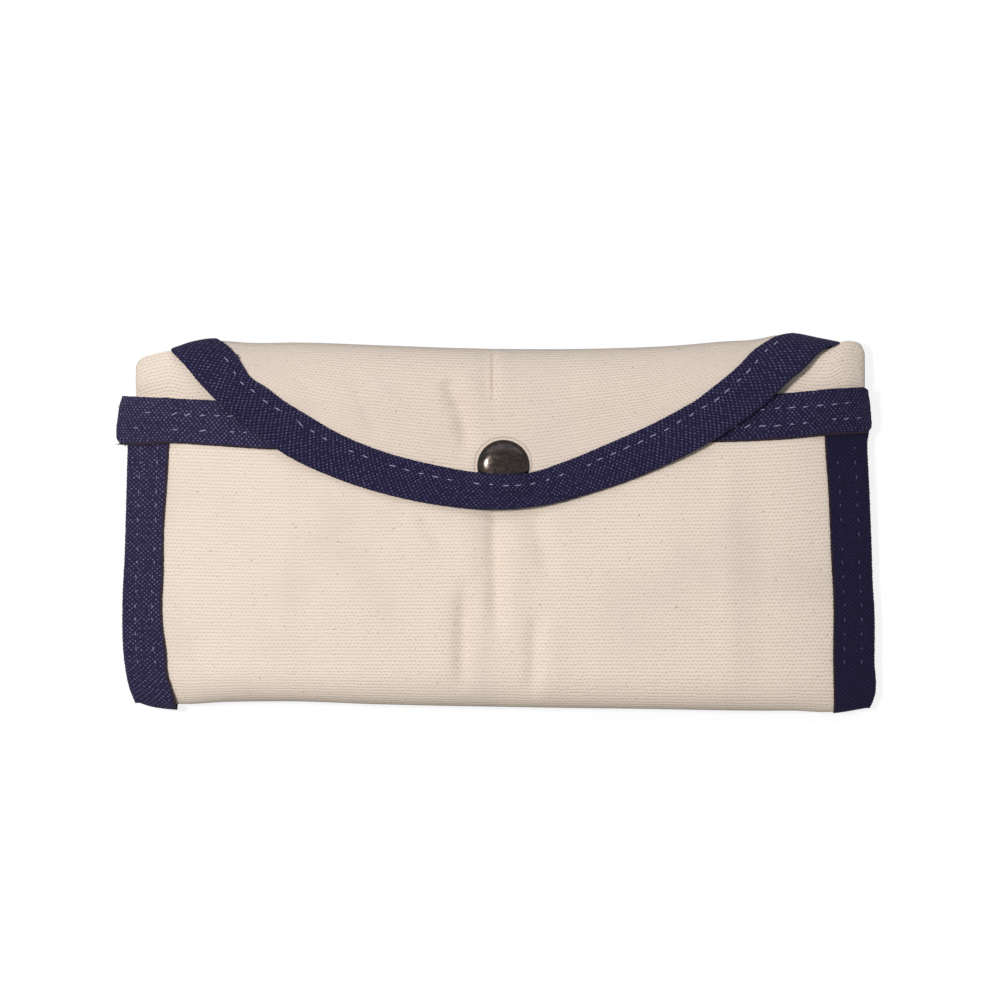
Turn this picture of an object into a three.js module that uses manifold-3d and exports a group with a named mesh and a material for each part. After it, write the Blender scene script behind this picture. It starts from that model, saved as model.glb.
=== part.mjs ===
// A tote bag folded into its own canvas pouch. The pouch lies on its back with the flap up.
// Millimetres: +X to the right, +Y towards the flap's fold, +Z up, the back panel resting at Z 0.
import * as THREE from 'three';
import { mergeVertices } from 'three/addons/utils/BufferGeometryUtils.js';
import Module from 'manifold-3d';

const wasm = await Module();
wasm.setup();

// Cloth
const canvas = 0.8;
const tape = 0.6;
const clearance = 0.25;

// Pouch outline, seen from above
const pouchHalfWidth = 109.3;
const sideBulge = 1.8;
const bulgeY = -28;
const cornerDrawIn = 2.6;
const cornerReach = 12;
const bottomY = -54.8;
const bottomFoldDepth = 8;
const rimY = 37.3;
const rimTapeWidth = 13.6;
const rimTapeOverhang = 2.2;
const rimTapeLap = 0.15;
const sideTapeWidth = 12;

// Pouch section, across its width
const seamHeight = 4;
const pouchCrown = 6;
const topCrown = 14;
const pouchDish = 0.04;
const flatShare = 0.7;
const mouthRise = 3;
const lastFoldAngle = 1.4;

// Flap
const foldY = 52.6;
const backFoldHeight = 2;
const flapTipY = 3.5;
const flapInset = 11.8;
const bridgeInset = 1.9;
const flapTapeWidth = 11.5;
const flapRound = 0.8;

// Folded tote
const toteWall = 1.4;
const handleWidth = 25;
const handleThickness = 1.5;
const handleInset = 37;
const toteTopY = 51.2;
const toteEndDepth = 6;
const toteCornerRadius = 11;
const toteEarInset = 2.1;
const toteEndShare = 0.8;
const toteCornerShare = 0.98;
const toteSideRoom = 1.5;
const toteTapeWidth = 12;
const wingGapX = -2;
const wingGapHalf = 3;
const cavitySpare = 0.5;

// Snap fastener
const snapX = 2;
const snapY = 16.4;
const capRadius = 7.6;
const capHeight = 1.75;
const capEdge = 0.7;
const socketRadius = 6.2;
const socketHeight = 2.5;
const socketMouthRadius = 3.75;
const socketRoof = 0.6;
const studBaseRadius = 5.7;
const studBase = 0.6;
const studBallRadius = 3.2;
const studHeight = 2.5;
const postRadius = 1.3;
const rollRadius = 2;
const rollHeight = 0.4;
const postFlangeRadius = 4.9;
const postFlange = 0.8;
const springWire = 0.25;
const dimpleRadius = 26;

// What follows from them
const flapHalfWidth = pouchHalfWidth - flapInset;
const bridgeHalfWidth = pouchHalfWidth - bridgeInset;
const toteEarHalfWidth = pouchHalfWidth - toteEarInset;
const foldCentreY = bottomY + bottomFoldDepth;
const layer = tape + clearance;
const toteDepth = canvas + clearance + Math.max(tape, postFlange) + clearance;
const cavityHalf = handleThickness + 1.5 * clearance + cavitySpare;
const ringGap = 1.5 * clearance;
const pouchThickness = 2 * (cavityHalf + 2 * toteWall + ringGap + toteDepth);
const seamHalf = canvas + clearance / 2;
const flapLift = 2 * layer + clearance;
const snapStack = clearance + studBase + clearance + socketHeight + clearance;
const dimpleDepth = snapStack - flapLift;
const frontFoldHeight = pouchThickness + 2 * clearance + canvas / 2;
const clothEnd = canvas / 2 + 1.2 * clearance;
const tapeEnd = canvas / 2 + layer + clearance;
const holeRadius = postRadius + clearance;

const { lerp, clamp, smoothstep } = THREE.MathUtils;

function steps(from, to, count) {
  return Array.from({ length: count + 1 }, (_, k) => lerp(from, to, k / count));
}

// Half width of the pouch at a height along it: swelling sides, lower corners drawn in
function halfWidth(y) {
  const swell = 1 - ((y - bulgeY) / (rimY - bulgeY)) ** 2;
  const low = Math.max(0, bottomY + cornerReach - y) / cornerReach;
  return pouchHalfWidth + sideBulge * Math.max(swell, -0.4) - cornerDrawIn * low * low;
}

// Heights of the pouch's outer faces where it is fullest along Y
function frontFace(x, y, above = smoothstep(y, rimY - 1, rimY + 5)) {
  const across = Math.abs(x) / (halfWidth(y) + 4 * above);
  const crown = lerp(pouchCrown, topCrown, above);
  const seamTop = seamHeight + seamHalf;
  const fall = pouchDish * across ** 2 + (1 - pouchDish) * across ** crown;
  return seamTop + (pouchThickness - seamTop) * (1 - fall);
}

function backFace(x, y) {
  const rise = smoothstep(Math.abs(x) / halfWidth(y), flatShare, 1) ** 2;
  const side = (seamHeight - seamHalf) * rise;
  return lerp(side, backFoldHeight - canvas / 2, smoothstep(y, rimY + mouthRise, foldY));
}

// The front panel is pressed down round the snap
function dimple(x, y) {
  const seat = studBaseRadius + 1;
  const past = clamp((Math.hypot(x - snapX, y - snapY) - seat) / (dimpleRadius - seat), 0, 1);
  return dimpleDepth * (1 - past ** 2) ** 2;
}

// Height of a layer that lies a given distance outside the pouch's face, round the bottom fold too
function height(x, y, face, outside) {
  const front = frontFace(x, y);
  const back = backFace(x, y);
  const middle = (front + back) / 2;
  const half = (front - back) / 2;
  const along = clamp((foldCentreY - y) / (bottomFoldDepth + outside), 0, 1);
  const fold = Math.sqrt(1 - along * along);
  const press = face > 0 ? dimple(x, y) : 0;
  return middle + face * (half - press + outside) * fold;
}

// A closed skin over a row of outlines with equally many points
function loft(stations, outline, place) {
  const outlines = stations.map(outline);
  const count = outlines[0].length;
  const points = outlines.flatMap((ring, k) => ring.map((point) => place(stations[k], point)));
  const faces = [];
  for (let ring = 0; ring < outlines.length - 1; ring += 1) {
    for (let k = 0; k < count; k += 1) {
      const a = ring * count + k;
      const b = ring * count + ((k + 1) % count);
      faces.push([a, b, b + count], [a, b + count, a + count]);
    }
  }
  const last = (outlines.length - 1) * count;
  const flat = (ring) => ring.map(([a, b]) => new THREE.Vector2(a, b));
  const turn = THREE.ShapeUtils.area(flat(outlines[0])) > 0 ? 1 : -1;
  for (const [ring, start, near] of [[outlines[0], 0, true], [outlines.at(-1), last, false]]) {
    for (const [a, b, c] of THREE.ShapeUtils.triangulateShape(flat(ring), [])) {
      const wound = flatTurn(ring, a, b, c) * turn > 0;
      faces.push(wound === near ? [start + a, start + c, start + b] : [start + a, start + b, start + c]);
    }
  }
  return closed(points, faces);
}

function flatTurn(ring, a, b, c) {
  const [p, q, r] = [ring[a], ring[b], ring[c]];
  return (q[0] - p[0]) * (r[1] - p[1]) - (q[1] - p[1]) * (r[0] - p[0]);
}

// Turns the skin so that its faces point out
function closed(points, faces) {
  let volume = 0;
  for (const [a, b, c] of faces) {
    volume += points[a].dot(new THREE.Vector3().crossVectors(points[b], points[c]));
  }
  const outward = volume > 0 ? faces : faces.map(([a, b, c]) => [a, c, b]);
  const geometry = new THREE.BufferGeometry();
  geometry.setFromPoints(points);
  geometry.setIndex(outward.flat());
  return geometry;
}

function solid(geometry) {
  const bare = geometry.clone();
  bare.deleteAttribute('normal');
  bare.deleteAttribute('uv');
  const merged = mergeVertices(bare, 1e-4);
  return new wasm.Manifold(new wasm.Mesh({
    numProp: 3,
    vertProperties: new Float32Array(merged.attributes.position.array),
    triVerts: new Uint32Array(merged.index.array),
  }));
}

function skin(manifold) {
  const mesh = manifold.getMesh();
  const geometry = new THREE.BufferGeometry();
  geometry.setAttribute('position', new THREE.BufferAttribute(new Float32Array(mesh.vertProperties), 3));
  geometry.setIndex(Array.from(mesh.triVerts));
  return geometry;
}

function punch(geometry, radius, low, high) {
  const drill = new THREE.CylinderGeometry(radius, radius, high - low, 24);
  drill.rotateX(Math.PI / 2);
  drill.translate(snapX, snapY, (low + high) / 2);
  return skin(solid(geometry).subtract(solid(drill)));
}

function trimAbove(geometry, limitY) {
  const block = new THREE.BoxGeometry(4 * pouchHalfWidth, pouchHalfWidth, 2 * pouchHalfWidth);
  block.translate(0, limitY + pouchHalfWidth / 2, 0);
  return skin(solid(geometry).subtract(solid(block)));
}

const clothEdge = (y) => halfWidth(y) - layer;
const foldAngles = steps(0, lastFoldAngle, 5);
const nearSnap = steps(-12, 12, 6);
const panelRows = [...steps(foldCentreY, snapY - 20, 3), ...nearSnap.map((d) => snapY + d), snapY + 18];
const sideShares = [0.25, 0.4, 0.55, 0.7, 0.82, 0.91, 0.97, 1];
const panelShares = [
  ...sideShares.map((share) => -share).reverse(), -0.17,
  ...nearSnap.map((d) => (snapX + d) / pouchHalfWidth), 0.185, ...sideShares,
];
const onX = (x, [y, z]) => new THREE.Vector3(x, y, z);
const onY = (y, [x, z]) => new THREE.Vector3(x, y, z);

// Pouch canvas: up the back, round the bottom fold and up the front to the mouth
function pouchPanel() {
  const mouthY = rimY - layer;
  const front = [...panelRows.filter((y) => y < mouthY - 1), mouthY].reverse();
  const mouth = rimY + mouthRise;
  const back = [...steps(foldCentreY, mouth, 3), ...steps(mouth, foldY - clothEnd, 3).slice(1)];
  const turns = foldAngles.slice(1);
  const path = (share, inside) => {
    const at = (y, face) => [share * clothEdge(y), y, height(share * clothEdge(y), y, face, -inside)];
    const low = (angle) => foldCentreY - (bottomFoldDepth - inside) * Math.sin(angle);
    return [
      ...front.map((y) => at(y, 1)),
      ...turns.map((angle) => at(low(angle), 1)),
      at(low(Math.PI / 2), 1),
      ...turns.map((angle) => at(low(angle), -1)).reverse(),
      ...back.map((y) => at(y, -1)),
    ];
  };
  const outline = (share) => [...path(share, 0), ...path(share, canvas).reverse()]
    .map(([x, y, z]) => [y, z, x]);
  const panel = loft(panelShares, outline, (_, [y, z, x]) => new THREE.Vector3(x, y, z));
  const top = height(snapX, snapY, 1, 0);
  return punch(panel, holeRadius, top - 2 * canvas, top + canvas);
}

// Tape folded round the side seam, both panels between its two legs
function sideBinding(side) {
  const outline = (y) => {
    const outer = halfWidth(y);
    const inner = outer - sideTapeWidth;
    const middle = (frontFace(outer, y) + backFace(outer, y)) / 2;
    const across = steps(inner, outer - tape, 4);
    const leg = (face, outside) => across.map((x) => [side * x, height(x, y, face, outside)]);
    return [
      ...leg(1, layer),
      [side * outer, middle + seamHalf],
      [side * outer, middle - seamHalf],
      ...leg(-1, layer).reverse(),
      ...leg(-1, clearance),
      ...leg(1, clearance).reverse(),
    ];
  };
  const low = foldAngles.map((angle) => foldCentreY - (bottomFoldDepth + clearance) * Math.sin(angle));
  const stations = [...low.reverse(), ...steps(foldCentreY + 8, rimY - 2 * layer, 7)];
  return loft(stations, outline, onY);
}

// Tape over the mouth: its outer leg crosses the side bindings, its inner leg stays between them
function rimBinding() {
  const lowY = rimY - rimTapeWidth;
  const raised = (x) => layer * smoothstep(Math.abs(x), pouchHalfWidth - sideTapeWidth - 5,
    pouchHalfWidth - sideTapeWidth - 1);
  const rows = steps(lowY, rimY - tape, 5);
  const strip = (x) => [
    ...rows.map((y) => [y, height(x, y, 1, clearance + raised(x))]),
    [rimY, height(x, rimY - tape, 1, clearance + raised(x))],
    [rimY, height(x, rimY - tape, 1, layer - rimTapeLap + raised(x))],
    ...rows.map((y) => [y, height(x, y, 1, layer + raised(x))]).reverse(),
  ];
  const hookX = pouchHalfWidth - sideTapeWidth - 8;
  const hook = (x) => [
    [rimY - tape, height(x, rimY - tape, 1, layer - rimTapeLap)],
    [rimY, height(x, rimY - tape, 1, layer - rimTapeLap)],
    [rimY, height(x, rimY - tape, 1, -canvas - layer + rimTapeLap)],
    ...rows.map((y) => [y, height(x, y, 1, -canvas - layer)]).reverse(),
    ...rows.map((y) => [y, height(x, y, 1, -canvas - clearance)]),
  ];
  const ends = pouchHalfWidth + rimTapeOverhang;
  const inner = panelShares.map((share) => share * pouchHalfWidth).filter((x) => Math.abs(x) < hookX - 2);
  const middle = [-hookX, ...inner, hookX];
  const outer = [hookX + 4, hookX + 8, hookX + 13, hookX + 18];
  const across = [-ends, ...outer.map((x) => -x).reverse(), ...middle, ...outer, ends];
  return skin(solid(loft(across, strip, onX)).add(solid(loft(middle, hook, onX))));
}

// The flap's tape where it runs up the back panel's edge to the fold
function backEdgeBinding(side) {
  const outline = (y) => {
    const outer = halfWidth(y);
    const across = steps(outer - sideTapeWidth, outer - tape, 4);
    const leg = (outside) => across.map((x) => [side * x, height(x, y, -1, outside)]);
    return [
      ...leg(layer),
      [side * outer, height(outer - tape, y, -1, clearance)],
      [side * outer, height(outer - tape, y, -1, -canvas - clearance)],
      ...leg(-canvas - layer).reverse(),
      ...leg(-canvas - clearance),
      ...leg(clearance).reverse(),
    ];
  };
  return loft(steps(rimY + 2 * clearance, foldY - tapeEnd, 5), outline, onY);
}

// Canvas over the top end, from the back fold up to the front fold
function flapBridge() {
  const outline = (z) => {
    const half = bridgeHalf(z) - layer;
    return [
      [-half, foldY - canvas / 2], [half, foldY - canvas / 2],
      [half, foldY + canvas / 2], [-half, foldY + canvas / 2],
    ];
  };
  const stations = steps(backFoldHeight + clothEnd, frontFoldHeight - clothEnd, 4);
  return loft(stations, outline, (z, [x, y]) => new THREE.Vector3(x, y, z));
}

function bridgeHalf(z) {
  const share = (z - backFoldHeight) / (frontFoldHeight - backFoldHeight);
  return lerp(bridgeHalfWidth, flapHalfWidth, share);
}

function bridgeBinding(side) {
  const face = canvas / 2 + clearance;
  const outline = (z) => {
    const outer = bridgeHalf(z);
    const inner = outer - flapTapeWidth;
    return [
      [side * inner, foldY + face], [side * (outer - tape), foldY + face],
      [side * (outer - tape), foldY - face], [side * inner, foldY - face],
      [side * inner, foldY - face - tape], [side * outer, foldY - face - tape],
      [side * outer, foldY + face + tape], [side * inner, foldY + face + tape],
    ];
  };
  const stations = steps(backFoldHeight + tapeEnd, frontFoldHeight - tapeEnd, 3);
  return loft(stations, outline, (z, [x, y]) => new THREE.Vector3(x, y, z));
}

// Curved outer edge of the closed flap, and its slope
function flapEdge(x) {
  const share = Math.abs(x) / flapHalfWidth;
  return flapTipY + (foldY - flapTipY) * (flapRound * share ** 2 + (1 - flapRound) * share ** 7);
}

function flapSlope(x) {
  const share = Math.abs(x) / flapHalfWidth;
  const rate = 2 * flapRound * share + 7 * (1 - flapRound) * share ** 6;
  return Math.sign(x) * ((foldY - flapTipY) / flapHalfWidth) * rate;
}

// Underside of the flap's canvas, straight along the fold
function flapHeight(x, y) {
  const lying = frontFace(x, y, 1) + flapLift;
  return lerp(lying, frontFoldHeight - canvas / 2, smoothstep(y, rimY + mouthRise, foldY));
}

function flapFront() {
  const top = foldY - clothEnd;
  const clothLow = (x) => flapEdge(x) + (layer + clearance) * Math.hypot(1, flapSlope(x));
  let reach = flapHalfWidth;
  while (clothLow(reach) > top - 1) {
    reach -= 0.25;
  }
  const outline = (x) => {
    const rows = steps(clothLow(x), top, 7);
    const under = rows.map((y) => [y, flapHeight(x, y)]);
    const over = rows.map((y) => [y, flapHeight(x, y) + canvas]);
    return [...under, ...over.reverse()];
  };
  const panel = loft(steps(-reach, reach, 30), outline, onX);
  const level = flapHeight(snapX, snapY);
  return punch(panel, holeRadius, level - canvas, level + 2 * canvas);
}

// The tape rises over the snap's cap, whose lower part it covers
function capBump(x, y) {
  const distance = Math.hypot(x - snapX, y - snapY);
  return (capHeight + clearance) * (1 - smoothstep(distance, capRadius + 0.4, capRadius + 6));
}

function flapBinding() {
  const inward = [tape, ...steps(2.8, flapTapeWidth, 4)];
  const spot = (x, inset) => {
    const length = Math.hypot(1, flapSlope(x));
    return [x - (inset * flapSlope(x)) / length, flapEdge(x) + inset / length];
  };
  const outline = (x) => {
    const at = (inset, level, rise) => {
      const [px, py] = spot(x, inset);
      return [inset, level + rise * capBump(px, py), px, py];
    };
    return [
      ...inward.map((inset) => at(inset, canvas + clearance, 1)).reverse(),
      ...inward.map((inset) => at(inset, -clearance, 0)),
      ...inward.map((inset) => at(inset, -layer, 0)).reverse(),
      at(0, -clearance, 0),
      at(0, canvas + clearance, 1),
      ...inward.map((inset) => at(inset, canvas + layer, 1)),
    ];
  };
  const place = (_, [, level, px, py]) => new THREE.Vector3(px, py, flapHeight(px, py) + level);
  const near = steps(snapX - 16, snapX + 16, 10);
  const far = [0.25, 0.37, 0.5, 0.63, 0.74, 0.83, 0.9, 0.95, 1].map((share) => share * flapHalfWidth);
  const stations = [...far.map((x) => -x).reverse(), ...near, ...far];
  const band = trimAbove(loft(stations, outline, place), foldY - tapeEnd);
  const level = flapHeight(snapX, snapY);
  return punch(band, socketRadius + clearance, level - 2 * layer, level - clearance / 2);
}

// Folded tote: two cloths, one inside the other, their sides folded in to meet near the middle
function toteLevel(x, y, face, inset, reach) {
  const front = frontFace(x, y) - dimple(x, y);
  const back = backFace(x, y);
  const along = y > 0 ? (y - toteTopY + toteEndDepth) / toteEndDepth
    : (foldCentreY - y) / (bottomFoldDepth - toteDepth);
  const end = Math.sqrt(1 - (toteEndShare * clamp(along, 0, 1)) ** 2);
  const blunt = (1 - Math.min(1, Math.abs(x) / reach) ** 10) ** 0.4;
  const room = (front - back) / 2 - toteDepth;
  const half = room * (1 - inset / (pouchThickness / 2 - toteDepth));
  return (front + back) / 2 + face * half * end * blunt;
}

function toteHalf(y) {
  const inside = halfWidth(Math.min(y, rimY)) - sideTapeWidth + toteSideRoom;
  const body = lerp(inside, toteEarHalfWidth, smoothstep(y, rimY + 2 * clearance, rimY + 4));
  const end = y > 0 ? y - toteTopY : toteBottomY - y;
  const past = clamp(end + toteCornerRadius, 0, toteCornerRadius);
  return body - toteCornerRadius + Math.sqrt(toteCornerRadius ** 2 - past ** 2 * toteCornerShare);
}

const toteBottomY = foldCentreY - toteEndShare * (bottomFoldDepth - toteDepth);
const toteRows = [...steps(toteBottomY, foldCentreY, 3), foldCentreY + 20, snapY - 20,
  ...nearSnap.filter((_, k) => k % 2 === 0).map((d) => snapY + d), rimY + 0.4,
  rimY + 2.4, rimY + 4.4, ...steps(toteTopY - toteEndDepth, toteTopY, 3)];
const pinch = (x) => layer * (1 - smoothstep(Math.abs(x - wingGapX),
  wingGapHalf + toteTapeWidth + 2, wingGapHalf + toteTapeWidth + 8));

function toteRing(outset, innerset, pinchOut, pinchIn) {
  const edge = wingGapHalf + layer;
  const wing = [0, 0.08, 0.16, 0.24, 0.4, 0.58, 0.74, 0.86, 0.94, 0.98, 1];
  const under = [-0.95, -0.84, ...steps(-0.7, 0.7, 4), 0.84, 0.95];
  const outline = (y) => {
    const ring = (inset, pinched) => {
      const reach = toteHalf(y) - inset;
      const top = (side) => wing.map((share) => {
        const x = lerp(wingGapX + side * edge, side * reach, share);
        return [x, toteLevel(x, y, 1, inset + pinched * pinch(x), reach)];
      });
      const low = under.map((share) => [share * reach, toteLevel(share * reach, y, -1, inset, reach)]);
      return [...top(1), ...low.reverse(), ...top(-1).reverse()];
    };
    return [...ring(outset, pinchOut), ...ring(innerset, pinchIn).reverse()];
  };
  return loft(toteRows, outline, onY);
}

// Tape round the two cloths' edges, either side of the gap between the wings
function toteSideBinding(side) {
  const outerInset = 0;
  const innerInset = 2 * toteWall + ringGap;
  const outline = (y) => {
    const start = wingGapX + side * wingGapHalf;
    const across = steps(tape, toteTapeWidth, 3).map((d) => start + side * d);
    const leg = (inset) => across.map((x) => [x, toteLevel(x, y, 1, inset, Infinity)]);
    return [
      [start, toteLevel(start, y, 1, outerInset, Infinity)],
      ...leg(outerInset),
      ...leg(outerInset + tape).reverse(),
      ...leg(innerInset - tape),
      ...leg(innerInset).reverse(),
      [start, toteLevel(start, y, 1, innerInset, Infinity)],
    ];
  };
  return loft(toteRows, outline, onY);
}

// Flat layers in the tote's middle: two rim tapes and two handles, folded flat
const middleHeight = pouchThickness / 2 - cavityHalf + clearance;
const handleHalf = pouchHalfWidth - handleInset;
const toteRimLow = rimY - 8;

function toteRimBinding(step) {
  const thickness = 2 * tape;
  const strip = new THREE.BoxGeometry(2 * handleHalf, toteTapeWidth, thickness);
  const low = middleHeight + step * (thickness + clearance);
  strip.translate(0, toteRimLow + toteTapeWidth / 2, low + thickness / 2);
  return strip;
}

function handle(step) {
  const top = toteRimLow - clearance;
  const low = foldCentreY + 4;
  const outer = new THREE.Shape();
  const turn = handleWidth + 8;
  outer.moveTo(-handleHalf, top);
  outer.lineTo(-handleHalf, low + turn);
  outer.absarc(-handleHalf + turn, low + turn, turn, Math.PI, 1.5 * Math.PI, false);
  outer.absarc(handleHalf - turn, low + turn, turn, 1.5 * Math.PI, 2 * Math.PI, false);
  outer.lineTo(handleHalf, top);
  outer.lineTo(handleHalf - handleWidth, top);
  outer.absarc(handleHalf - turn, low + turn, turn - handleWidth, 0, -0.5 * Math.PI, true);
  outer.absarc(-handleHalf + turn, low + turn, turn - handleWidth, -0.5 * Math.PI, -Math.PI, true);
  outer.lineTo(-handleHalf + handleWidth, top);
  const webbing = new THREE.ExtrudeGeometry(outer, {
    depth: handleThickness,
    bevelEnabled: false,
    curveSegments: 8,
  });
  webbing.translate(0, 0, middleHeight + step * (handleThickness + clearance));
  return webbing;
}

// Snap pieces turn about the snap's axis; their profiles run as radius and height
function turned(profile, low) {
  const outline = profile.map(([radius, z]) => new THREE.Vector2(radius, z));
  const points = THREE.ShapeUtils.isClockWise(outline) ? outline.reverse() : outline;
  const geometry = new THREE.LatheGeometry([...points, points[0].clone()], 24);
  geometry.rotateX(Math.PI / 2);
  geometry.translate(snapX, snapY, low);
  return geometry;
}

const panelTop = height(snapX, snapY, 1, 0);
const flapUnder = flapHeight(snapX, snapY);

function snapStud() {
  const well = studBallRadius - 0.8;
  return turned([
    [holeRadius, 0], [studBaseRadius, 0], [studBaseRadius, studBase], [studBallRadius, studBase],
    [studBallRadius - 0.25, studBase + 0.5], [studBallRadius, studBase + 1.2],
    [studBallRadius - 0.3, studHeight - 0.3], [studBallRadius - 0.6, studHeight],
    [well, studHeight - 0.1], [well, studBase], [holeRadius, studBase],
  ], panelTop + clearance);
}

function snapPost() {
  const roll = clearance + studBase + clearance;
  const bore = postRadius - 0.4;
  return turned([
    [0, roll + rollHeight], [rollRadius, roll + rollHeight], [rollRadius, roll], [postRadius, roll],
    [postRadius, -canvas - clearance], [postFlangeRadius, -canvas - clearance],
    [postFlangeRadius, -canvas - clearance - postFlange], [bore, -canvas - clearance - postFlange],
    [bore, roll - 0.2], [0, roll - 0.2],
  ], panelTop);
}

function snapSocket() {
  const roof = -clearance;
  const mouth = roof - socketHeight;
  const groove = roof - socketHeight + 0.35;
  return turned([
    [holeRadius, roof], [socketRadius - 0.5, roof], [socketRadius, roof - 0.6],
    [socketRadius, mouth + 0.3], [socketRadius - 0.3, mouth], [socketMouthRadius + 0.3, mouth],
    [socketMouthRadius, mouth + 0.3], [socketMouthRadius + 0.05, groove], [socketMouthRadius + 0.9, groove],
    [socketMouthRadius + 0.9, groove + 0.8], [socketMouthRadius, groove + 0.8],
    [socketMouthRadius, roof - socketRoof], [holeRadius, roof - socketRoof],
  ], flapUnder);
}

function snapSpring() {
  const groove = -clearance - socketHeight + 0.75;
  const radius = socketMouthRadius + 0.25;
  class OpenRing extends THREE.Curve {
    getPoint(share, target = new THREE.Vector3()) {
      const angle = lerp(0.25, 2 * Math.PI - 0.25, share);
      return target.set(radius * Math.cos(angle), radius * Math.sin(angle), 0);
    }
  }
  const section = new THREE.Shape();
  section.absarc(0, 0, springWire, 0, 2 * Math.PI, false);
  const ring = new THREE.ExtrudeGeometry(section, {
    steps: 24,
    curveSegments: 4,
    bevelEnabled: false,
    extrudePath: new OpenRing(),
  });
  ring.translate(snapX, snapY, flapUnder + groove);
  return ring;
}

function snapCap() {
  const base = canvas + clearance;
  const roll = -clearance - socketRoof - clearance;
  return turned([
    [0, base + capHeight], [capRadius * 0.35, base + capHeight - 0.1],
    [capRadius * 0.65, base + capHeight - 0.35], [capRadius * 0.88, base + capEdge + 0.35],
    [capRadius, base + capEdge * 0.6], [capRadius - 0.1, base + 0.1], [capRadius - 0.4, base],
    [postRadius, base], [postRadius, roll], [rollRadius, roll], [rollRadius, roll - rollHeight],
    [0, roll - rollHeight],
  ], flapUnder);
}

const duck = { color: 0xe4d6c6, roughness: 0.95, metalness: 0 };
const navy = { color: 0x231b45, roughness: 0.85, metalness: 0 };
const webbingCloth = { color: 0x2a2250, roughness: 0.9, metalness: 0 };
const gunmetal = { color: 0x3a3634, roughness: 0.35, metalness: 1 };
const nickel = { color: 0x9a9790, roughness: 0.4, metalness: 1 };

const group = new THREE.Group();

function piece(name, geometry, finish) {
  const mesh = new THREE.Mesh(geometry, new THREE.MeshStandardMaterial(finish));
  mesh.name = name;
  group.add(mesh);
}

piece('pouch_panel', pouchPanel(), duck);
piece('rim_binding', rimBinding(), navy);
piece('flap_bridge', flapBridge(), duck);
piece('flap_front', flapFront(), duck);
piece('flap_binding_front', flapBinding(), navy);
for (const [name, side] of [['left', -1], ['right', 1]]) {
  piece(`side_binding_${name}`, sideBinding(side), navy);
  piece(`flap_binding_back_${name}`, backEdgeBinding(side), navy);
  piece(`flap_binding_bridge_${name}`, bridgeBinding(side), navy);
  piece(`tote_side_binding_${name}`, toteSideBinding(side), navy);
}
piece('tote_back_panel', toteRing(0, toteWall, 1, 0), duck);
piece('tote_front_panel', toteRing(toteWall + ringGap, 2 * toteWall + ringGap, 0, -1), duck);
for (const [name, step] of [['front', 1], ['back', 0]]) {
  piece(`tote_rim_binding_${name}`, toteRimBinding(step), navy);
  piece(`handle_${name}`, handle(step), webbingCloth);
}
piece('snap_cap', snapCap(), gunmetal);
piece('snap_socket', snapSocket(), nickel);
piece('snap_spring', snapSpring(), nickel);
piece('snap_stud', snapStud(), nickel);
piece('snap_post', snapPost(), nickel);

// The origin is the middle of the footprint, on the surface below the back panel
const footprint = new THREE.Box3().setFromObject(group).getCenter(new THREE.Vector3());
group.position.set(-footprint.x, -footprint.y, 0);

export default group;
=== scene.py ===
import math

import bmesh
import bpy
import numpy as np
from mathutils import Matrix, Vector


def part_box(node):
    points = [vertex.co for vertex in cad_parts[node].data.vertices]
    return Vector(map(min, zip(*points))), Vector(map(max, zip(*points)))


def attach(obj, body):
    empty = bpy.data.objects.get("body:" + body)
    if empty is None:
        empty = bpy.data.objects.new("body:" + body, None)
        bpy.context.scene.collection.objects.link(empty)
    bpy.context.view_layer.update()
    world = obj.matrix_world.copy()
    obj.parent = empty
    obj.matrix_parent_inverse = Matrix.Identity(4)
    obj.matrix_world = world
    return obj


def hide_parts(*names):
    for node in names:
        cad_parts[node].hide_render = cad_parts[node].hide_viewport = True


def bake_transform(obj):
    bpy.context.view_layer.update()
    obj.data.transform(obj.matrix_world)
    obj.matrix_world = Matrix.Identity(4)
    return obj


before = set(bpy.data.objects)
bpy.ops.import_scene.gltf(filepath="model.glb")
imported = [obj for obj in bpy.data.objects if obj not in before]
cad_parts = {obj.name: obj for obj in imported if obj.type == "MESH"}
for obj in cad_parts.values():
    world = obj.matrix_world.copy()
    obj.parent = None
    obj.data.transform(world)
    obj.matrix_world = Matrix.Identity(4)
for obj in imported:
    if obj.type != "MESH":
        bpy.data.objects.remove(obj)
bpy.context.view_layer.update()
print("packed model loaded")

# Lengths below are millimetres in the part's frame; meshes are scaled to metres as they are made.
metre = 0.001
canvasThickness = 0.8
tapeThickness = 0.6


def smoothstep(value, low, high):
    share = np.clip((value - low) / (high - low), 0, 1)
    return share * share * (3 - 2 * share)


def lerp(a, b, share):
    return a + (b - a) * share


def throughPoints(points):
    # smooth curve y(x) through the points, level beyond both ends
    known, values = np.array(sorted(points), float).T
    slopes = np.gradient(values, known)

    def at(x):
        x = np.clip(np.asarray(x, float), known[0], known[-1])
        k = np.clip(np.searchsorted(known, x) - 1, 0, len(known) - 2)
        span = known[k + 1] - known[k]
        t = (x - known[k]) / span
        return (values[k] * (1 + 2 * t) * (1 - t) ** 2 + slopes[k] * span * t * (1 - t) ** 2
                + values[k + 1] * t * t * (3 - 2 * t) + slopes[k + 1] * span * t * t * (t - 1))
    return at


def runningLength(points):
    steps = np.linalg.norm(np.diff(points, axis=0), axis=-1)
    return np.concatenate([[0], np.cumsum(steps)])


def alongCurve(points, count):
    # evenly spaced points on a smooth line through the given ones
    points = np.array(points, float)
    gone = runningLength(points)
    marks = np.linspace(0, gone[-1], count)
    return together(*[throughPoints(list(zip(gone, column)))(marks) for column in points.T])


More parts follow.
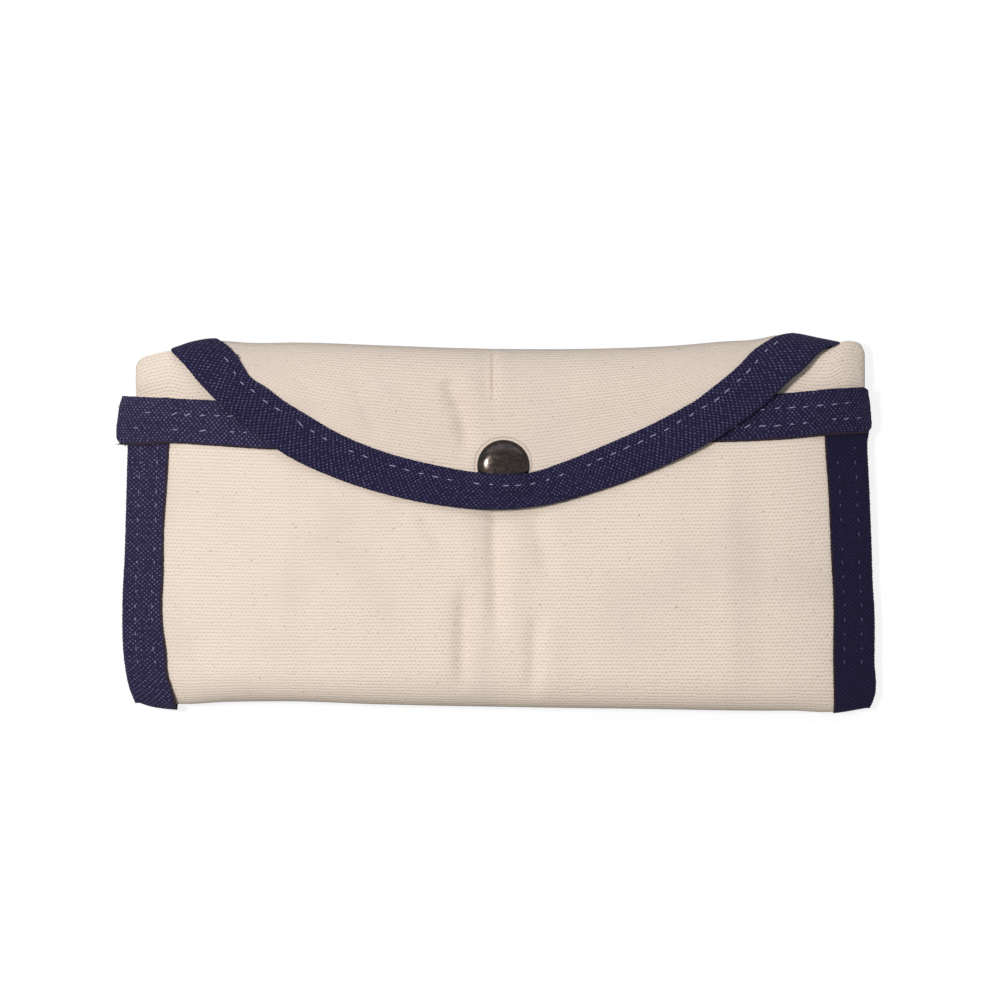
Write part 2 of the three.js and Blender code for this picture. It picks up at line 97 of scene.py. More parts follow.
def closerMiddle(first, last, count, reach, crowding=2.5, samples=2001):
    # places from first to last that lie closer together within reach of the middle
    fine = np.linspace(first, last, samples)
    gone = np.cumsum(1 + crowding * np.exp(-(((fine - (first + last) / 2) / reach) ** 2)))
    return np.interp(np.linspace(gone[0], gone[-1], count), gone, fine)


def together(*parts):
    # separate coordinates to points; a single number or row is repeated to fit
    return np.stack(np.broadcast_arrays(*parts), axis=-1)


def unit(ways):
    return ways / np.maximum(np.linalg.norm(ways, axis=-1, keepdims=True), 1e-9)


def creases(x, y, folds):
    # each fold: start x, y, end x, y, width, height (below zero for a valley)
    total = np.zeros(np.broadcast(x, y).shape)
    for x0, y0, x1, y1, width, rise in folds:
        dx, dy = x1 - x0, y1 - y0
        along = ((x - x0) * dx + (y - y0) * dy) / (dx * dx + dy * dy)
        nearest = np.clip(along, 0, 1)
        distance = np.hypot(x - x0 - nearest * dx, y - y0 - nearest * dy)
        fade = smoothstep(along, -0.2, 0.25) * (1 - smoothstep(along, 0.75, 1.2))
        total = total + rise * np.exp(-(distance / width) ** 2) * fade
    return total


def ripples(x, y, size, seed):
    # soft unevenness of cloth that has been folded and handled: five long waves, each weaker than the last
    total = 0
    for k in range(5):
        angle = seed * 1.7 + k * 2.4
        length = size * (1 + 0.45 * k)
        along = x * math.cos(angle) + y * math.sin(angle)
        total = total + np.sin(along * 2 * math.pi / length + seed + k) / (1 + k)
    return total / 2.3


def makeMesh(name, points, faces, uv, material, body=None, sharp=50):
    mesh = bpy.data.meshes.new(name)
    mesh.from_pydata((np.asarray(points).reshape(-1, 3) * metre).tolist(), [], faces)
    layer = mesh.uv_layers.new(name="cloth")
    corners = np.empty(len(mesh.loops), dtype=np.int32)
    mesh.loops.foreach_get("vertex_index", corners)
    layer.data.foreach_set("uv", (np.asarray(uv).reshape(-1, 2)[corners] * metre).ravel())
    mesh.shade_smooth()
    mesh.set_sharp_from_angle(angle=math.radians(sharp))
    mesh.materials.append(material)
    piece = bpy.data.objects.new(name, mesh)
    bpy.context.scene.collection.objects.link(piece)
    if body:
        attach(piece, body)
    return piece


def ringFaces(rings, around, start=0):
    # faces between neighbouring closed rings of points
    faces = []
    for ring in range(rings - 1):
        for k in range(around):
            a, b = (start + ring * around + spot for spot in (k, (k + 1) % around))
            faces.append((a, b, b + around, a + around))
    return faces


def slab(name, outer, inner, uv, material, body=None):
    # closed strip of cloth between two faces, each stations x points across
    stations, across = outer.shape[:2]
    ring = 2 * across
    points = np.concatenate([outer, inner[:, ::-1]], axis=1)
    uvs = np.concatenate([uv, uv[:, ::-1]], axis=1)
    faces = ringFaces(stations, ring)
    last = (stations - 1) * ring
    for k in range(across - 1):
        faces.append((k + 1, k, ring - 1 - k, ring - 2 - k))
        faces.append((last + k, last + k + 1, last + ring - 2 - k, last + ring - 1 - k))
    return makeMesh(name, points, facingOut(points, faces), uvs, material, body)


def facingOut(points, faces):
    # turns the four-cornered faces of a closed shape round if they face inwards
    a, b, c, d = np.moveaxis(points.reshape(-1, 3)[np.array(faces)], 1, 0)
    volume = (a * (np.cross(b, c) + np.cross(c, d))).sum()
    return [face[::-1] for face in faces] if volume < 0 else faces


def clothSheet(name, face, uv, material):
    # face is the side that shows; the other side lies one thickness of canvas behind it
    inward = unit(np.cross(np.gradient(face, axis=1), np.gradient(face, axis=0)))
    return slab(name, face, face + inward * canvasThickness, uv, material)


def addNode(tree, kind, settings=None, **inputs):
    # adds a node and joins or sets its inputs: i0, i1 by place, others by name
    node = tree.nodes.new(kind)
    for key, value in (settings or {}).items():
        setattr(node, key, value)
    for key, value in inputs.items():
        target = node.inputs[int(key[1:])] if key[0] == "i" and key[1:].isdigit() else node.inputs[key]
        if isinstance(value, bpy.types.NodeSocket):
            tree.links.new(value, target)
        else:
            target.default_value = value
    return node


def reckon(tree, operation, *values):
    inputs = {f"i{k}": value for k, value in enumerate(values)}
    return addNode(tree, "ShaderNodeMath", {"operation": operation}, **inputs).outputs[0]


def times(tree, first, second):
    return reckon(tree, "MULTIPLY", first, second)


def blendColours(tree, share, first, second):
    mix = addNode(tree, "ShaderNodeMix", {"data_type": "RGBA"}, i0=share, i6=first, i7=second)
    return mix.outputs[2]


def inRange(tree, value, low, high):
    # 0 at low, 1 at high, with a soft step between
    settings = {"interpolation_type": "SMOOTHSTEP"}
    return addNode(tree, "ShaderNodeMapRange", settings, i0=value, i1=low, i2=high).outputs[0]


def plainColour(red, green, blue):
    # sRGB 0 to 255 to the linear colour that a socket takes
    parts = [c / 255 for c in (red, green, blue)]
    return (*[c / 12.92 if c <= 0.04045 else ((c + 0.055) / 1.055) ** 2.4 for c in parts], 1)


def newMaterial(name, settings):
    material = bpy.data.materials.new(name)
    material.use_nodes = True
    shader = material.node_tree.nodes["Principled BSDF"]
    for key, value in settings.items():
        shader.inputs[key].default_value = value
    return material, material.node_tree, shader


def addSurface(tree, shader, colour, height, strength, depth):
    bump = addNode(tree, "ShaderNodeBump", {}, Strength=strength, Distance=depth, Height=height)
    tree.links.new(colour, shader.inputs["Base Color"])
    tree.links.new(bump.outputs[0], shader.inputs["Normal"])


flatNoise = {"noise_dimensions": "2D"}
flatCells = {"voronoi_dimensions": "2D"}


def clothPlace(tree, wobble):
    # place on the cloth in millimetres, with the yarns' small wander
    def moved(operation, **inputs):
        return addNode(tree, "ShaderNodeVectorMath", {"operation": operation}, **inputs).outputs[0]
    place = addNode(tree, "ShaderNodeUVMap", {"uv_map": "cloth"}).outputs[0]
    place = addNode(tree, "ShaderNodeMapping", {}, Vector=place, Scale=(1 / metre,) * 3).outputs[0]
    noise = addNode(tree, "ShaderNodeTexNoise", flatNoise, Vector=place, Scale=0.4, Detail=2.0)
    shift = moved("SUBTRACT", i0=noise.outputs["Color"], i1=(0.5, 0.5, 0.5))
    return moved("ADD", i0=place, i1=moved("SCALE", i0=shift, Scale=wobble))


def stretchedNoise(tree, place, across, along, detail=1.0):
    mapped = addNode(tree, "ShaderNodeMapping", {}, Vector=place, Scale=(across, along, 1)).outputs[0]
    return addNode(tree, "ShaderNodeTexNoise", flatNoise, Vector=mapped, Scale=1.0, Detail=detail).outputs[0]


def makeCanvas(name, look, pressedRing=None):
    material, tree, shader = newMaterial(name, {
        "Roughness": 0.92, "Specular IOR Level": 0.25, "Sheen Weight": 0.12, "Sheen Roughness": 0.6})
    place = clothPlace(tree, look["wobble"])
    axes = addNode(tree, "ShaderNodeSeparateXYZ", {}, i0=place).outputs
    across = times(tree, axes[1], math.pi / look["weftPitch"])
    row = reckon(tree, "ABSOLUTE", reckon(tree, "COSINE", across))
    between = reckon(tree, "SINE", across)
    warp = reckon(tree, "COSINE", times(tree, axes[0], 2 * math.pi / look["warpPitch"]))
    rowGap = inRange(tree, row, *look["rowFade"])
    gap = times(tree, rowGap, inRange(tree, times(tree, between, warp), *look["warpFade"]))
    uneven = stretchedNoise(tree, place, *look["unevenNoise"])
    thickWeft = stretchedNoise(tree, place, *look["weftNoise"])
    patches = stretchedNoise(tree, place, *look["patchNoise"])
    colour = blendColours(tree, inRange(tree, row, *look["rowShade"]), look["light"], look["shade"])
    # painted shade: the gaps between the yarns, which the bump sinks, are also painted darker in the gap
    # colour
    gapShadeShare = times(tree, gap, times(tree, inRange(tree, uneven, 0.0, 0.6), look["gapShadeShare"]))
    colour = blendColours(tree, gapShadeShare, colour, look["gap"])
    greyed = times(tree, inRange(tree, patches, *look["patchFade"]), look["patchShare"])
    colour = blendColours(tree, greyed, colour, look["grey"])
    for size, kept, fleck, weight in look["flecks"]:
        # one speck or none in each cell of the cloth
        cells = addNode(tree, "ShaderNodeTexVoronoi", flatCells, Vector=place, Scale=1 / size)
        near = inRange(tree, cells.outputs["Distance"], *(radius / size for radius in look["fleckFade"]))
        lot = addNode(tree, "ShaderNodeSeparateXYZ", {}, i0=cells.outputs["Color"]).outputs[0]
        chosen = reckon(tree, "GREATER_THAN", lot, 1 - kept)
        colour = blendColours(tree, times(tree, times(tree, near, chosen), weight), colour, fleck)
    rise = look["rise"]
    height = reckon(tree, "ADD",
                    reckon(tree, "MULTIPLY_ADD", row, rise["row"], times(tree, uneven, rise["uneven"])),
                    reckon(tree, "MULTIPLY_ADD", gap, rise["gap"], times(tree, thickWeft, rise["weft"])))
    if pressedRing:
        # line that the cap has pressed into the canvas round itself; the groove is also painted darker in the
        # gap colour, a painted shade
        ring = addNode(tree, "ShaderNodeVectorMath", {"operation": "DISTANCE"}, i0=place,
                       i1=(*pressedRing["middle"], 0)).outputs["Value"]
        off = reckon(tree, "ABSOLUTE", reckon(tree, "SUBTRACT", ring, pressedRing["radius"]))
        line = inRange(tree, off, *look["ringFade"])
        height = reckon(tree, "SUBTRACT", height, times(tree, line, look["ringDepth"]))
        colour = blendColours(tree, times(tree, line, look["ringShadeShare"]), colour, look["gap"])
    addSurface(tree, shader, colour, height, look["relief"], look["reliefDepth"])
    return material


def makeTape(name, look, litFrom=0.0, litTo=0.0):
    # painted light: the tape is painted lighter towards the end that faces the lamp, changing along its
    # length from one end to the other
    material, tree, shader = newMaterial(name, {
        "Roughness": 0.8, "Specular IOR Level": 0.2, "Sheen Weight": look["fuzz"], "Sheen Roughness": 0.5,
        "Sheen Tint": look["ribHighlight"]})
    place = clothPlace(tree, look["wobble"])
    axes = addNode(tree, "ShaderNodeSeparateXYZ", {}, i0=place).outputs
    rib = reckon(tree, "SINE", times(tree, axes[0], 2 * math.pi / look["ribPitch"]))
    yarn = reckon(tree, "SINE", times(tree, axes[1], 2 * math.pi / look["yarnPitch"]))
    crossing = times(tree, rib, yarn)
    uneven = stretchedNoise(tree, place, *look["unevenNoise"])
    patches = stretchedNoise(tree, place, *look["patchNoise"])
    # painted shade in the weave's troughs, then a painted highlight on the yarns' crests
    colour = blendColours(tree, reckon(tree, "MULTIPLY_ADD", crossing, 0.5, 0.5), look["troughShade"], look["navy"])
    crest = times(tree, inRange(tree, crossing, *look["ribFade"]), inRange(tree, uneven, *look["unevenFade"]))
    # worn is painted light: it rises towards the tape's end that faces the lamp, strengthens the painted
    # highlight on the crests and lightens the whole tape
    worn = addNode(tree, "ShaderNodeMapRange", {}, i0=axes[0], i1=0.0, i2=look["length"], i3=litFrom,
                   i4=litTo).outputs[0]
    patchy = reckon(tree, "MULTIPLY_ADD", patches, *look["patchShare"])
    crest = times(tree, crest, reckon(tree, "ADD", worn, patchy))
    colour = blendColours(tree, crest, colour, look["ribHighlight"])
    colour = blendColours(tree, times(tree, worn, look["litShare"]), colour, look["ribHighlight"])
    # painted shade: a dark line along the tape's inner edge, where the tape meets the canvas
    if look["edge"]:
        colour = blendColours(tree, inRange(tree, axes[1], *look["edgeShadowFade"]), colour, look["edge"])
    height = reckon(tree, "POWER", reckon(tree, "ABSOLUTE", crossing), look["yarnRoundness"])
    height = reckon(tree, "ADD", height, times(tree, rib, look["ribRise"]))
    addSurface(tree, shader, colour, height, look["relief"], look["reliefDepth"])
    return material


def makeMetal(name, look):
    material, tree, shader = newMaterial(name, {
        "Metallic": 1.0, "Coat Weight": look["lacquer"], "Coat Roughness": 0.08, "Coat IOR": 1.6})
    spot = addNode(tree, "ShaderNodeTexCoord", {}).outputs["Object"]
    haze = addNode(tree, "ShaderNodeTexNoise", {}, Vector=spot, Scale=900.0, Detail=4.0).outputs[0]
    marks = addNode(tree, "ShaderNodeTexNoise", {}, Vector=spot, Scale=5200.0, Detail=2.0).outputs[0]
    colour = blendColours(tree, inRange(tree, haze, 0.35, 0.7), look["body"], look["worn"])
    rough = addNode(tree, "ShaderNodeMapRange", {}, i0=haze, i3=look["smooth"], i4=look["dull"]).outputs[0]
    tree.links.new(rough, shader.inputs["Roughness"])
    addSurface(tree, shader, colour, marks, 0.15, 0.00002)
    return material


def makeThread(name, colour, roughness):
    settings = {"Base Color": plainColour(*colour), "Roughness": roughness, "Sheen Weight": 0.2}
    return newMaterial(name, settings)[0]


# pitches, specks and lengths in millimetres
duckLook = {
    "light": plainColour(238, 221, 204), "shade": plainColour(229, 210, 191),
    # the gap colour is painted shade, for the gaps between the yarns and the groove round the cap
    "gap": plainColour(184, 155, 135), "grey": plainColour(218, 201, 189), "gapShadeShare": 0.38,
    "warpPitch": 1.25, "weftPitch": 1.04, "wobble": 0.6, "relief": 0.68, "reliefDepth": 0.16 * metre,
    # where a pattern starts to show and where it shows in full
    "rowFade": (0.75, 0.2), "warpFade": (-0.5, 0.9), "rowShade": (0.7, 0.0),
    "patchFade": (0.45, 0.75), "patchShare": 0.35, "fleckFade": (0.3, 0.08),
    "ringFade": (0.35, 0.05), "ringDepth": 1.6, "ringShadeShare": 0.3,
    # each noise: how fine it is across and along the cloth, detail
    "unevenNoise": (0.6, 0.9, 2.0), "weftNoise": (0.12, 1.0), "patchNoise": (0.035, 0.03, 3.0),
    "rise": {"row": 0.45, "uneven": 0.7, "gap": -0.75, "weft": 0.4},
    # each kind of speck: size of its cells, share of them that have one, colour, strength
    "flecks": [(5.5, 0.35, plainColour(142, 112, 82), 0.5), (14, 0.4, plainColour(92, 72, 56), 0.75),
               (3.1, 0.3, plainColour(196, 172, 146), 0.5)],
}
# painted shade: the flap's canvas is the same canvas painted darker, for the less light that falls on it
shadedFlapLook = {**duckLook, "light": plainColour(229, 212, 196), "shade": plainColour(220, 201, 184)}
tapeLook = {
    # painted shade in the weave's troughs and a painted highlight on the yarns' crests: the darkest and the
    # lightest colours
    "troughShade": plainColour(12, 8, 34), "navy": plainColour(32, 26, 62), "ribHighlight": plainColour(122, 114, 154),
    "ribPitch": 1.3, "yarnPitch": 1.45, "wobble": 0.5, "fuzz": 0.04, "edge": None, "length": 110.0,
    "relief": 0.7, "reliefDepth": 0.22 * metre, "yarnRoundness": 0.7, "ribRise": 0.25, "litShare": 0.12,
    "ribFade": (0.25, 0.95), "unevenFade": (0.3, 0.68), "edgeShadowFade": (0.65, 0.3), "patchShare": (0.7, 0.3),
    "unevenNoise": (0.9, 0.9, 2.0), "patchNoise": (0.12, 0.2, 3.0),
}
# painted shade: the edge colour is a dark line along the tape's inner edge, where it meets the canvas
shadowEdgedLook = {**tapeLook, "edge": plainColour(44, 31, 34)}
capLook = {"body": plainColour(34, 28, 25), "worn": plainColour(54, 46, 41), "smooth": 0.12, "dull": 0.26,
           "lacquer": 0.25}
springLook = {"body": plainColour(150, 147, 140), "worn": plainColour(190, 187, 180), "smooth": 0.25,
              "dull": 0.45, "lacquer": 0}
# painted shade: a darker copy of the same tape, for the side away from the lamp
shadedTapeLook = {**shadowEdgedLook, "troughShade": plainColour(8, 4, 28), "navy": plainColour(17, 10, 46),
            "ribHighlight": plainColour(56, 48, 92)}
canvas = makeCanvas("duckCanvas", duckLook)
bindingTape = makeTape("navyTape", tapeLook)
# painted light: the left side tape is painted lighter, more so at one end, where it faces the lamp
litTape = makeTape("navyTapeLit", shadowEdgedLook, 0.35, 0.15)
# painted shade: the right side tape is painted darker, away from the lamp
shadedTape = makeTape("navyTapeShaded", shadedTapeLook)
# painted light: the rim tape is painted lighter towards its left end, which faces the lamp
rimTape = makeTape("navyTapeRim", {**shadowEdgedLook, "length": 220.0}, 0.5, 0.0)
webbing = makeTape("navyWebbing", {**tapeLook, "ribPitch": 2.0, "yarnPitch": 1.6})
gunmetal = makeMetal("gunmetal", capLook)
nickel = makeMetal("nickel", springLook)
seamThread = makeThread("seamThread", (152, 146, 180), 0.7)
sideThread = makeThread("sideThread", (130, 122, 162), 0.7)
# painted shade: the right side's stitches, the same thread painted darker, away from the lamp
shadedThread = makeThread("shadedThread", (72, 65, 108), 0.8)
frayThread = makeThread("frayThread", (40, 34, 70), 0.8)
print("materials made")

# Edges are (place, distance) pairs: half widths over y for leftEdge and rightEdge, y over x for the others.
# Each fold is start x, y, end x, y, width and height.
pouch = {
    "leftEdge": [(-56, 105), (-51.9, 106.8), (-48.4, 108.3), (-44.8, 109.2), (-41.3, 109.8), (-34.2, 110.4),
                 (-27.2, 110.5), (-21.3, 110.4), (-9.5, 109.8), (1.1, 109.5), (11.7, 109.2), (22.4, 108.9),
                 (36.5, 108.4), (38.5, 106), (41.5, 104.6), (46, 103.6), (56, 102.8)],
    "rightEdge": [(-56, 109.4), (-54.3, 110.2), (-51.9, 111.3), (-40, 111.6), (-23.6, 111.5), (-19.5, 111.2),
                  (-4.8, 110.7), (10, 110.1), (22.4, 109.5), (36.5, 109.2), (39.5, 107), (42, 106.2),
                  (46, 105.4), (56, 104.6)],
    "bottomEdge": [(-112, -50), (-104, -51.8), (-95, -53), (-79, -52.4), (-60, -52.2), (-36.6, -53),
                   (1, -53.8), (42.2, -54.4), (86, -55), (103, -54.8), (112, -51.5)],
    "rimEdge": [(-113, 38), (-109.5, 37.7), (-83, 36.2), (-62, 35.5), (-40, 35.6), (0, 36.4), (40, 37),
                (85, 38.3), (100, 39.7), (108, 40.1), (113, 40.2)],
    "bottomFoldY": -42,
    "thickness": 15.3,
    "seamTop": 4.9,
    "crown": 6,  # how square the front is across its width: higher is flatter, with steeper sides
    "mouthCrown": 14,
    "mouth": (24, 37),
    "mouthWider": 1.5,
    "earWider": 8,
    "earStart": (36.5, 42),
    "bow": 0.04,  # share of the front's fall that is spread over its whole width
    "backRise": 3.1,
    "backRiseFrom": 0.7,  # share of the half width where the back begins to curve up
    "backFoot": 1.2,
    "backFlat": (36, 45),
    "unevenness": [(0.22, 46, 2), (0.1, 21, 5)],
    "foldsFade": {"x": (88, 98), "y": (18, 26)},
    "dimpleDepth": 1.9,
    "dimpleRadii": (6.7, 26),
    "hem": 1.3,
    "hemUnderTape": 4.7,
    "clothHalf": 110,
    "backMouthY": 36.5,
    "folds": [
        (-0.7, 5, 0.3, -31.5, 2.5, -1.5), (-9, 5, -8, -24, 4, 0.5), (5, 4, 5, -36, 4, 0.4),
        (-9.3, -17, -9.8, -47, 2.5, -1.4), (-16, -22, -16, -44, 5, 0.5), (-5, -20, -5, -42, 2.6, 0.2),
        (11, 3.5, 15.6, -15, 3.2, -0.95), (11.6, -27, 10.8, -48.5, 2.4, -1.1),
        (16.2, -27, 16.2, -50, 3.4, 0.4), (-22.3, 2.4, -15.6, -6.1, 2.5, -0.5), (-26, 3, -19, -8, 3, 0.3),
        (-62.5, 21, -61, -51, 3.2, 0.35), (67.5, 22, 68, -51, 4, 0.4), (76, 20, 78, -50, 5, -0.35),
    ],
}
snapAt = (2, 16.94)
leftEdge = throughPoints(pouch["leftEdge"])
rightEdge = throughPoints(pouch["rightEdge"])
bottomEdge = throughPoints(pouch["bottomEdge"])
rimEdge = throughPoints(pouch["rimEdge"])


def fromSnap(x, y):
    return np.hypot(x - snapAt[0], y - snapAt[1])


def halfWidth(x, y):
    return np.where(np.asarray(x) < 0, leftEdge(y), rightEdge(y))


def frontFace(x, y, above=None):
    # height of the front; above is 0 on the panel and 1 past the mouth, where the tote fills it more squarely
    if above is None:
        above = smoothstep(y, *pouch["mouth"])
    wider = pouch["mouthWider"] * above + pouch["earWider"] * smoothstep(y, *pouch["earStart"])
    across = np.abs(x) / (halfWidth(x, y) + wider)
    crown = lerp(pouch["crown"], pouch["mouthCrown"], above)
    fall = lerp(across ** crown, across ** 2, pouch["bow"])
    return pouch["seamTop"] + (pouch["thickness"] - pouch["seamTop"]) * (1 - fall)


def backFace(x, y):
    rise = smoothstep(np.abs(x) / halfWidth(x, y), pouch["backRiseFrom"], 1) ** 2
    return lerp(pouch["backRise"] * rise, pouch["backFoot"], smoothstep(y, *pouch["backFlat"]))


def dimple(x, y):
    # the hollow that the snap pulls into the cloth, flat under the snap itself
    near, far = pouch["dimpleRadii"]
    past = np.clip((fromSnap(x, y) - near) / (far - near), 0, 1)
    return pouch["dimpleDepth"] * (1 - past ** 2) ** 2


def relief(x, y, cloth):
    # the folds and the unevenness of a cloth's face; each wave is its height, length and seed
    waves = sum(height * ripples(x, y, length, seed) for height, length, seed in cloth["unevenness"])
    return creases(x, y, cloth["folds"]) + waves


def panelFolds(x, y):
    edge = 1 - smoothstep(np.abs(x), *pouch["foldsFade"]["x"])
    return relief(x, y, pouch) * edge * (1 - smoothstep(y, *pouch["foldsFade"]["y"]))


def pouchLevel(x, y, face):
    # height of the cloth on the front (1) or the back (-1) of the pouch
    front, back = frontFace(x, y), backFace(x, y)
    press = dimple(x, y) - panelFolds(x, y) if face > 0 else 0
    return (front + back) / 2 + face * ((front - back) / 2 - press)


def bottomTurn(x, angle):
    # point of the cloth on the bottom fold, from the front face (0) round to the back face (pi)
    y = lerp(pouch["bottomFoldY"], bottomEdge(x), np.sin(angle))
    front = frontFace(x, y) + panelFolds(x, y) * (np.cos(angle) > 0)
    back = backFace(x, y)
    return together(x, y, (front + back) / 2 + (front - back) / 2 * np.cos(angle))


flap = {
    "topEdge": [(-100, 49.8), (-94.4, 51.2), (-90, 52.7), (-84, 53.8), (-79, 53.7), (-74, 53.3),
                (-57.5, 53.3), (-31.8, 52.4), (-7.8, 51.6), (33.2, 51.6), (52.6, 52.4), (66.6, 53.6),
                (76, 54.2), (83, 55.5), (88, 55.3), (94, 54.1), (100, 52.9), (104, 52)],
    "backFoldEdge": [(-105, 46.5), (-99, 48.3), (-95, 49.4), (-85, 51), (-60, 51.4), (0, 50.6), (50, 51),
                     (85, 52.4), (98, 50.6), (106, 49.6)],
    "outer": [(-94.9, 50), (-93.8, 49), (-91.7, 47.1), (-89.4, 44.6), (-87.4, 42.1), (-84.8, 39.2),
              (-81.2, 35.6), (-71.7, 27.4), (-59.5, 19.0), (-45.5, 12.8), (-31.6, 8.5), (-17.6, 5.6),
              (-0.4, 4.1), (15.0, 5.6), (29.0, 9.4), (42.9, 14.3), (56.9, 20.8), (72.3, 30.3), (81.9, 38.4),
              (85.2, 41.6), (89.8, 45.4), (93.9, 49.6), (96.2, 51.1), (99.6, 52.2)],
    "inner": [(-81.0, 53.2), (-76.9, 50.1), (-74.3, 46.6), (-72.0, 43.1), (-66.8, 39.6), (-59.5, 34.4),
              (-45.5, 26.2), (-31.6, 20.7), (-17.6, 17.2), (-3.6, 14.9), (9.2, 14.9), (19.7, 18.2),
              (33.6, 23.9), (47.6, 30.3), (61.5, 38.7), (70.9, 46.3), (75.5, 50.7), (80.2, 53.6)],
    "outerTails": [[(-95.4, 24.6), (-95.4, 21)], [(101, 21), (100.6, 24.6)]],
    "innerTails": [[(-83.4, 24.6), (-82.6, 21)], [(87, 21), (88.2, 24.6)]],
    "edgeBelow": {"left": [(0, 95.4), (0.5, 96), (1, 102), (2, 102.6), (3, 105.5)],
                  "right": [(0, 100.4), (0.5, 100.6), (1, 103.2), (2, 103.8), (3, 107)]},
    "rollStart": 36,
    "rollEdge": 9,
    "rollLength": 21.5,
    "backTurn": 1.6,
    "bridgeLength": 6.2,
    "bridgeSides": (-89.4, 94),
    "backEndY": 37.2,
    "lift": 2.75,
    "pressed": 1.0,  # the lift that is missing low down, away from the cap
    "pressedBelow": (12, 22),
    "pressedBeyond": (9, 20),
    "foldsBeyond": (9, 15),
    "hem": 0.9,
    "sideRoom": 4.5,
    "lap": 1.0,  # the flap's canvas runs this far under the pouch's, so that no slit opens between them
    "ringRadius": 8.35,
    "unevenness": [(0.2, 40, 1), (0.1, 19, 3)],
    "folds": [
        (-0.9, 58, -0.5, 36.4, 0.9, -1.3), (-3.2, 54, -2.6, 37, 2.2, -0.6), (2.4, 54, 2, 37, 2.4, 0.3),
        (-14.2, 42, -10.6, 33.7, 2.6, -1.3), (-10.6, 34.5, -7.2, 19, 2.6, -1.4), (-9.6, 45, -4.5, 29, 3, 0.4),
        (-19, 40, -14, 26, 4, 0.4),
        (-39.7, 33.2, -33.9, 25.4, 2, -0.4), (-42.6, 45, -34.5, 26, 2.2, -0.45),
        (-36.8, 40.5, -18, 24, 2.6, 0.5), (-56.5, 42, -51, 30, 2.6, -0.35),
        (30, 52, 26, 32, 5, 0.25), (52, 50, 44, 36, 4, -0.25),
    ],
}
topEdge = throughPoints(flap["topEdge"])
backFoldEdge = throughPoints(flap["backFoldEdge"])
# the folds also move the flap's top edge a little
foldLine = throughPoints([(x, 0.05 * float(creases(np.float64(x), 52.0, flap["folds"])))
                          for x in np.arange(-112, 113, 0.5)])
flapOuterEdge = throughPoints(flap["outer"])


def flapFace(x, y):
    # upper side of the closed flap's canvas
    r = fromSnap(x, y)
    low = (1 - smoothstep(y, *flap["pressedBelow"])) * smoothstep(r, *flap["pressedBeyond"])
    lift = flap["lift"] - flap["pressed"] * low
    return frontFace(x, y, 1) + lift + relief(x, y, flap) * smoothstep(r, *flap["foldsBeyond"])


def flapPoint(x, v):
    # v runs up the flap: 0 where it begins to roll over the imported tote's end, then down the bridge
    start, edge, length = flap["rollStart"], flap["rollEdge"], flap["rollLength"]
    x, v = np.broadcast_arrays(np.asarray(x, float), np.asarray(v, float))
    angle = np.clip(v / length, 0, 1) * math.pi / 2
    q = np.clip((v - length) / flap["bridgeLength"], 0, 1)
    y = start + np.where(v < 0, v, (topEdge(x) - start) * np.sin(angle) + foldLine(x) * np.sin(angle) ** 4)
    z = edge + (flapFace(x, y) - edge) * np.cos(angle)
    bridgeY, bridgeZ = bridgeSpot(x, q)
    return together(x, np.where(v > length, bridgeY, y), np.where(v > length, bridgeZ, z))


def bridgeSpot(x, q):
    # q runs down the bridge, from the flap's top edge (0) to the back fold (1)
    y = topEdge(x) + foldLine(x) * (1 - q) ** 3 - (topEdge(x) - backFoldEdge(x)) * q ** 1.6
    return y, lerp(flap["rollEdge"], pouch["backFoot"] + flap["backTurn"], q)


def backPoint(x, t):
    # t runs down the lower half of the bridge (0 to 1), round the back fold (2) and to the mouth's level (3)
    turn = flap["backTurn"]
    x, t = np.broadcast_arrays(np.asarray(x, float), np.asarray(t, float))
    bridgeY, bridgeZ = bridgeSpot(x, 0.5 + 0.5 * np.clip(t, 0, 1))
    angle = math.pi / 2 * (1 - np.clip(t - 1, 0, 1))
    foldY = backFoldEdge(x) - turn
    backY = lerp(foldY, flap["backEndY"], np.clip(t - 2, 0, 1))
    turnY, turnZ = foldY + turn * np.sin(angle), pouch["backFoot"] + turn * (1 - np.cos(angle))
    y = np.where(t < 1, bridgeY, np.where(t < 2, turnY, backY))
    z = np.where(t < 1, bridgeZ, np.where(t < 2, turnZ, backFace(x, backY)))
    return together(x, y, z)


def facing(place, x, v, step=0.05):
    # outward direction of a cloth face given as place(x, v)
    dx = place(x + step, v) - place(x - step, v)
    dv = place(x, v + step) - place(x, v - step)
    return unit(np.cross(dx, dv))


def backEdge(side, t):
    # x of the tape's fold on the bridge's edge, at t of backPoint
    return side * throughPoints(flap["edgeBelow"]["left" if side < 0 else "right"])(t)


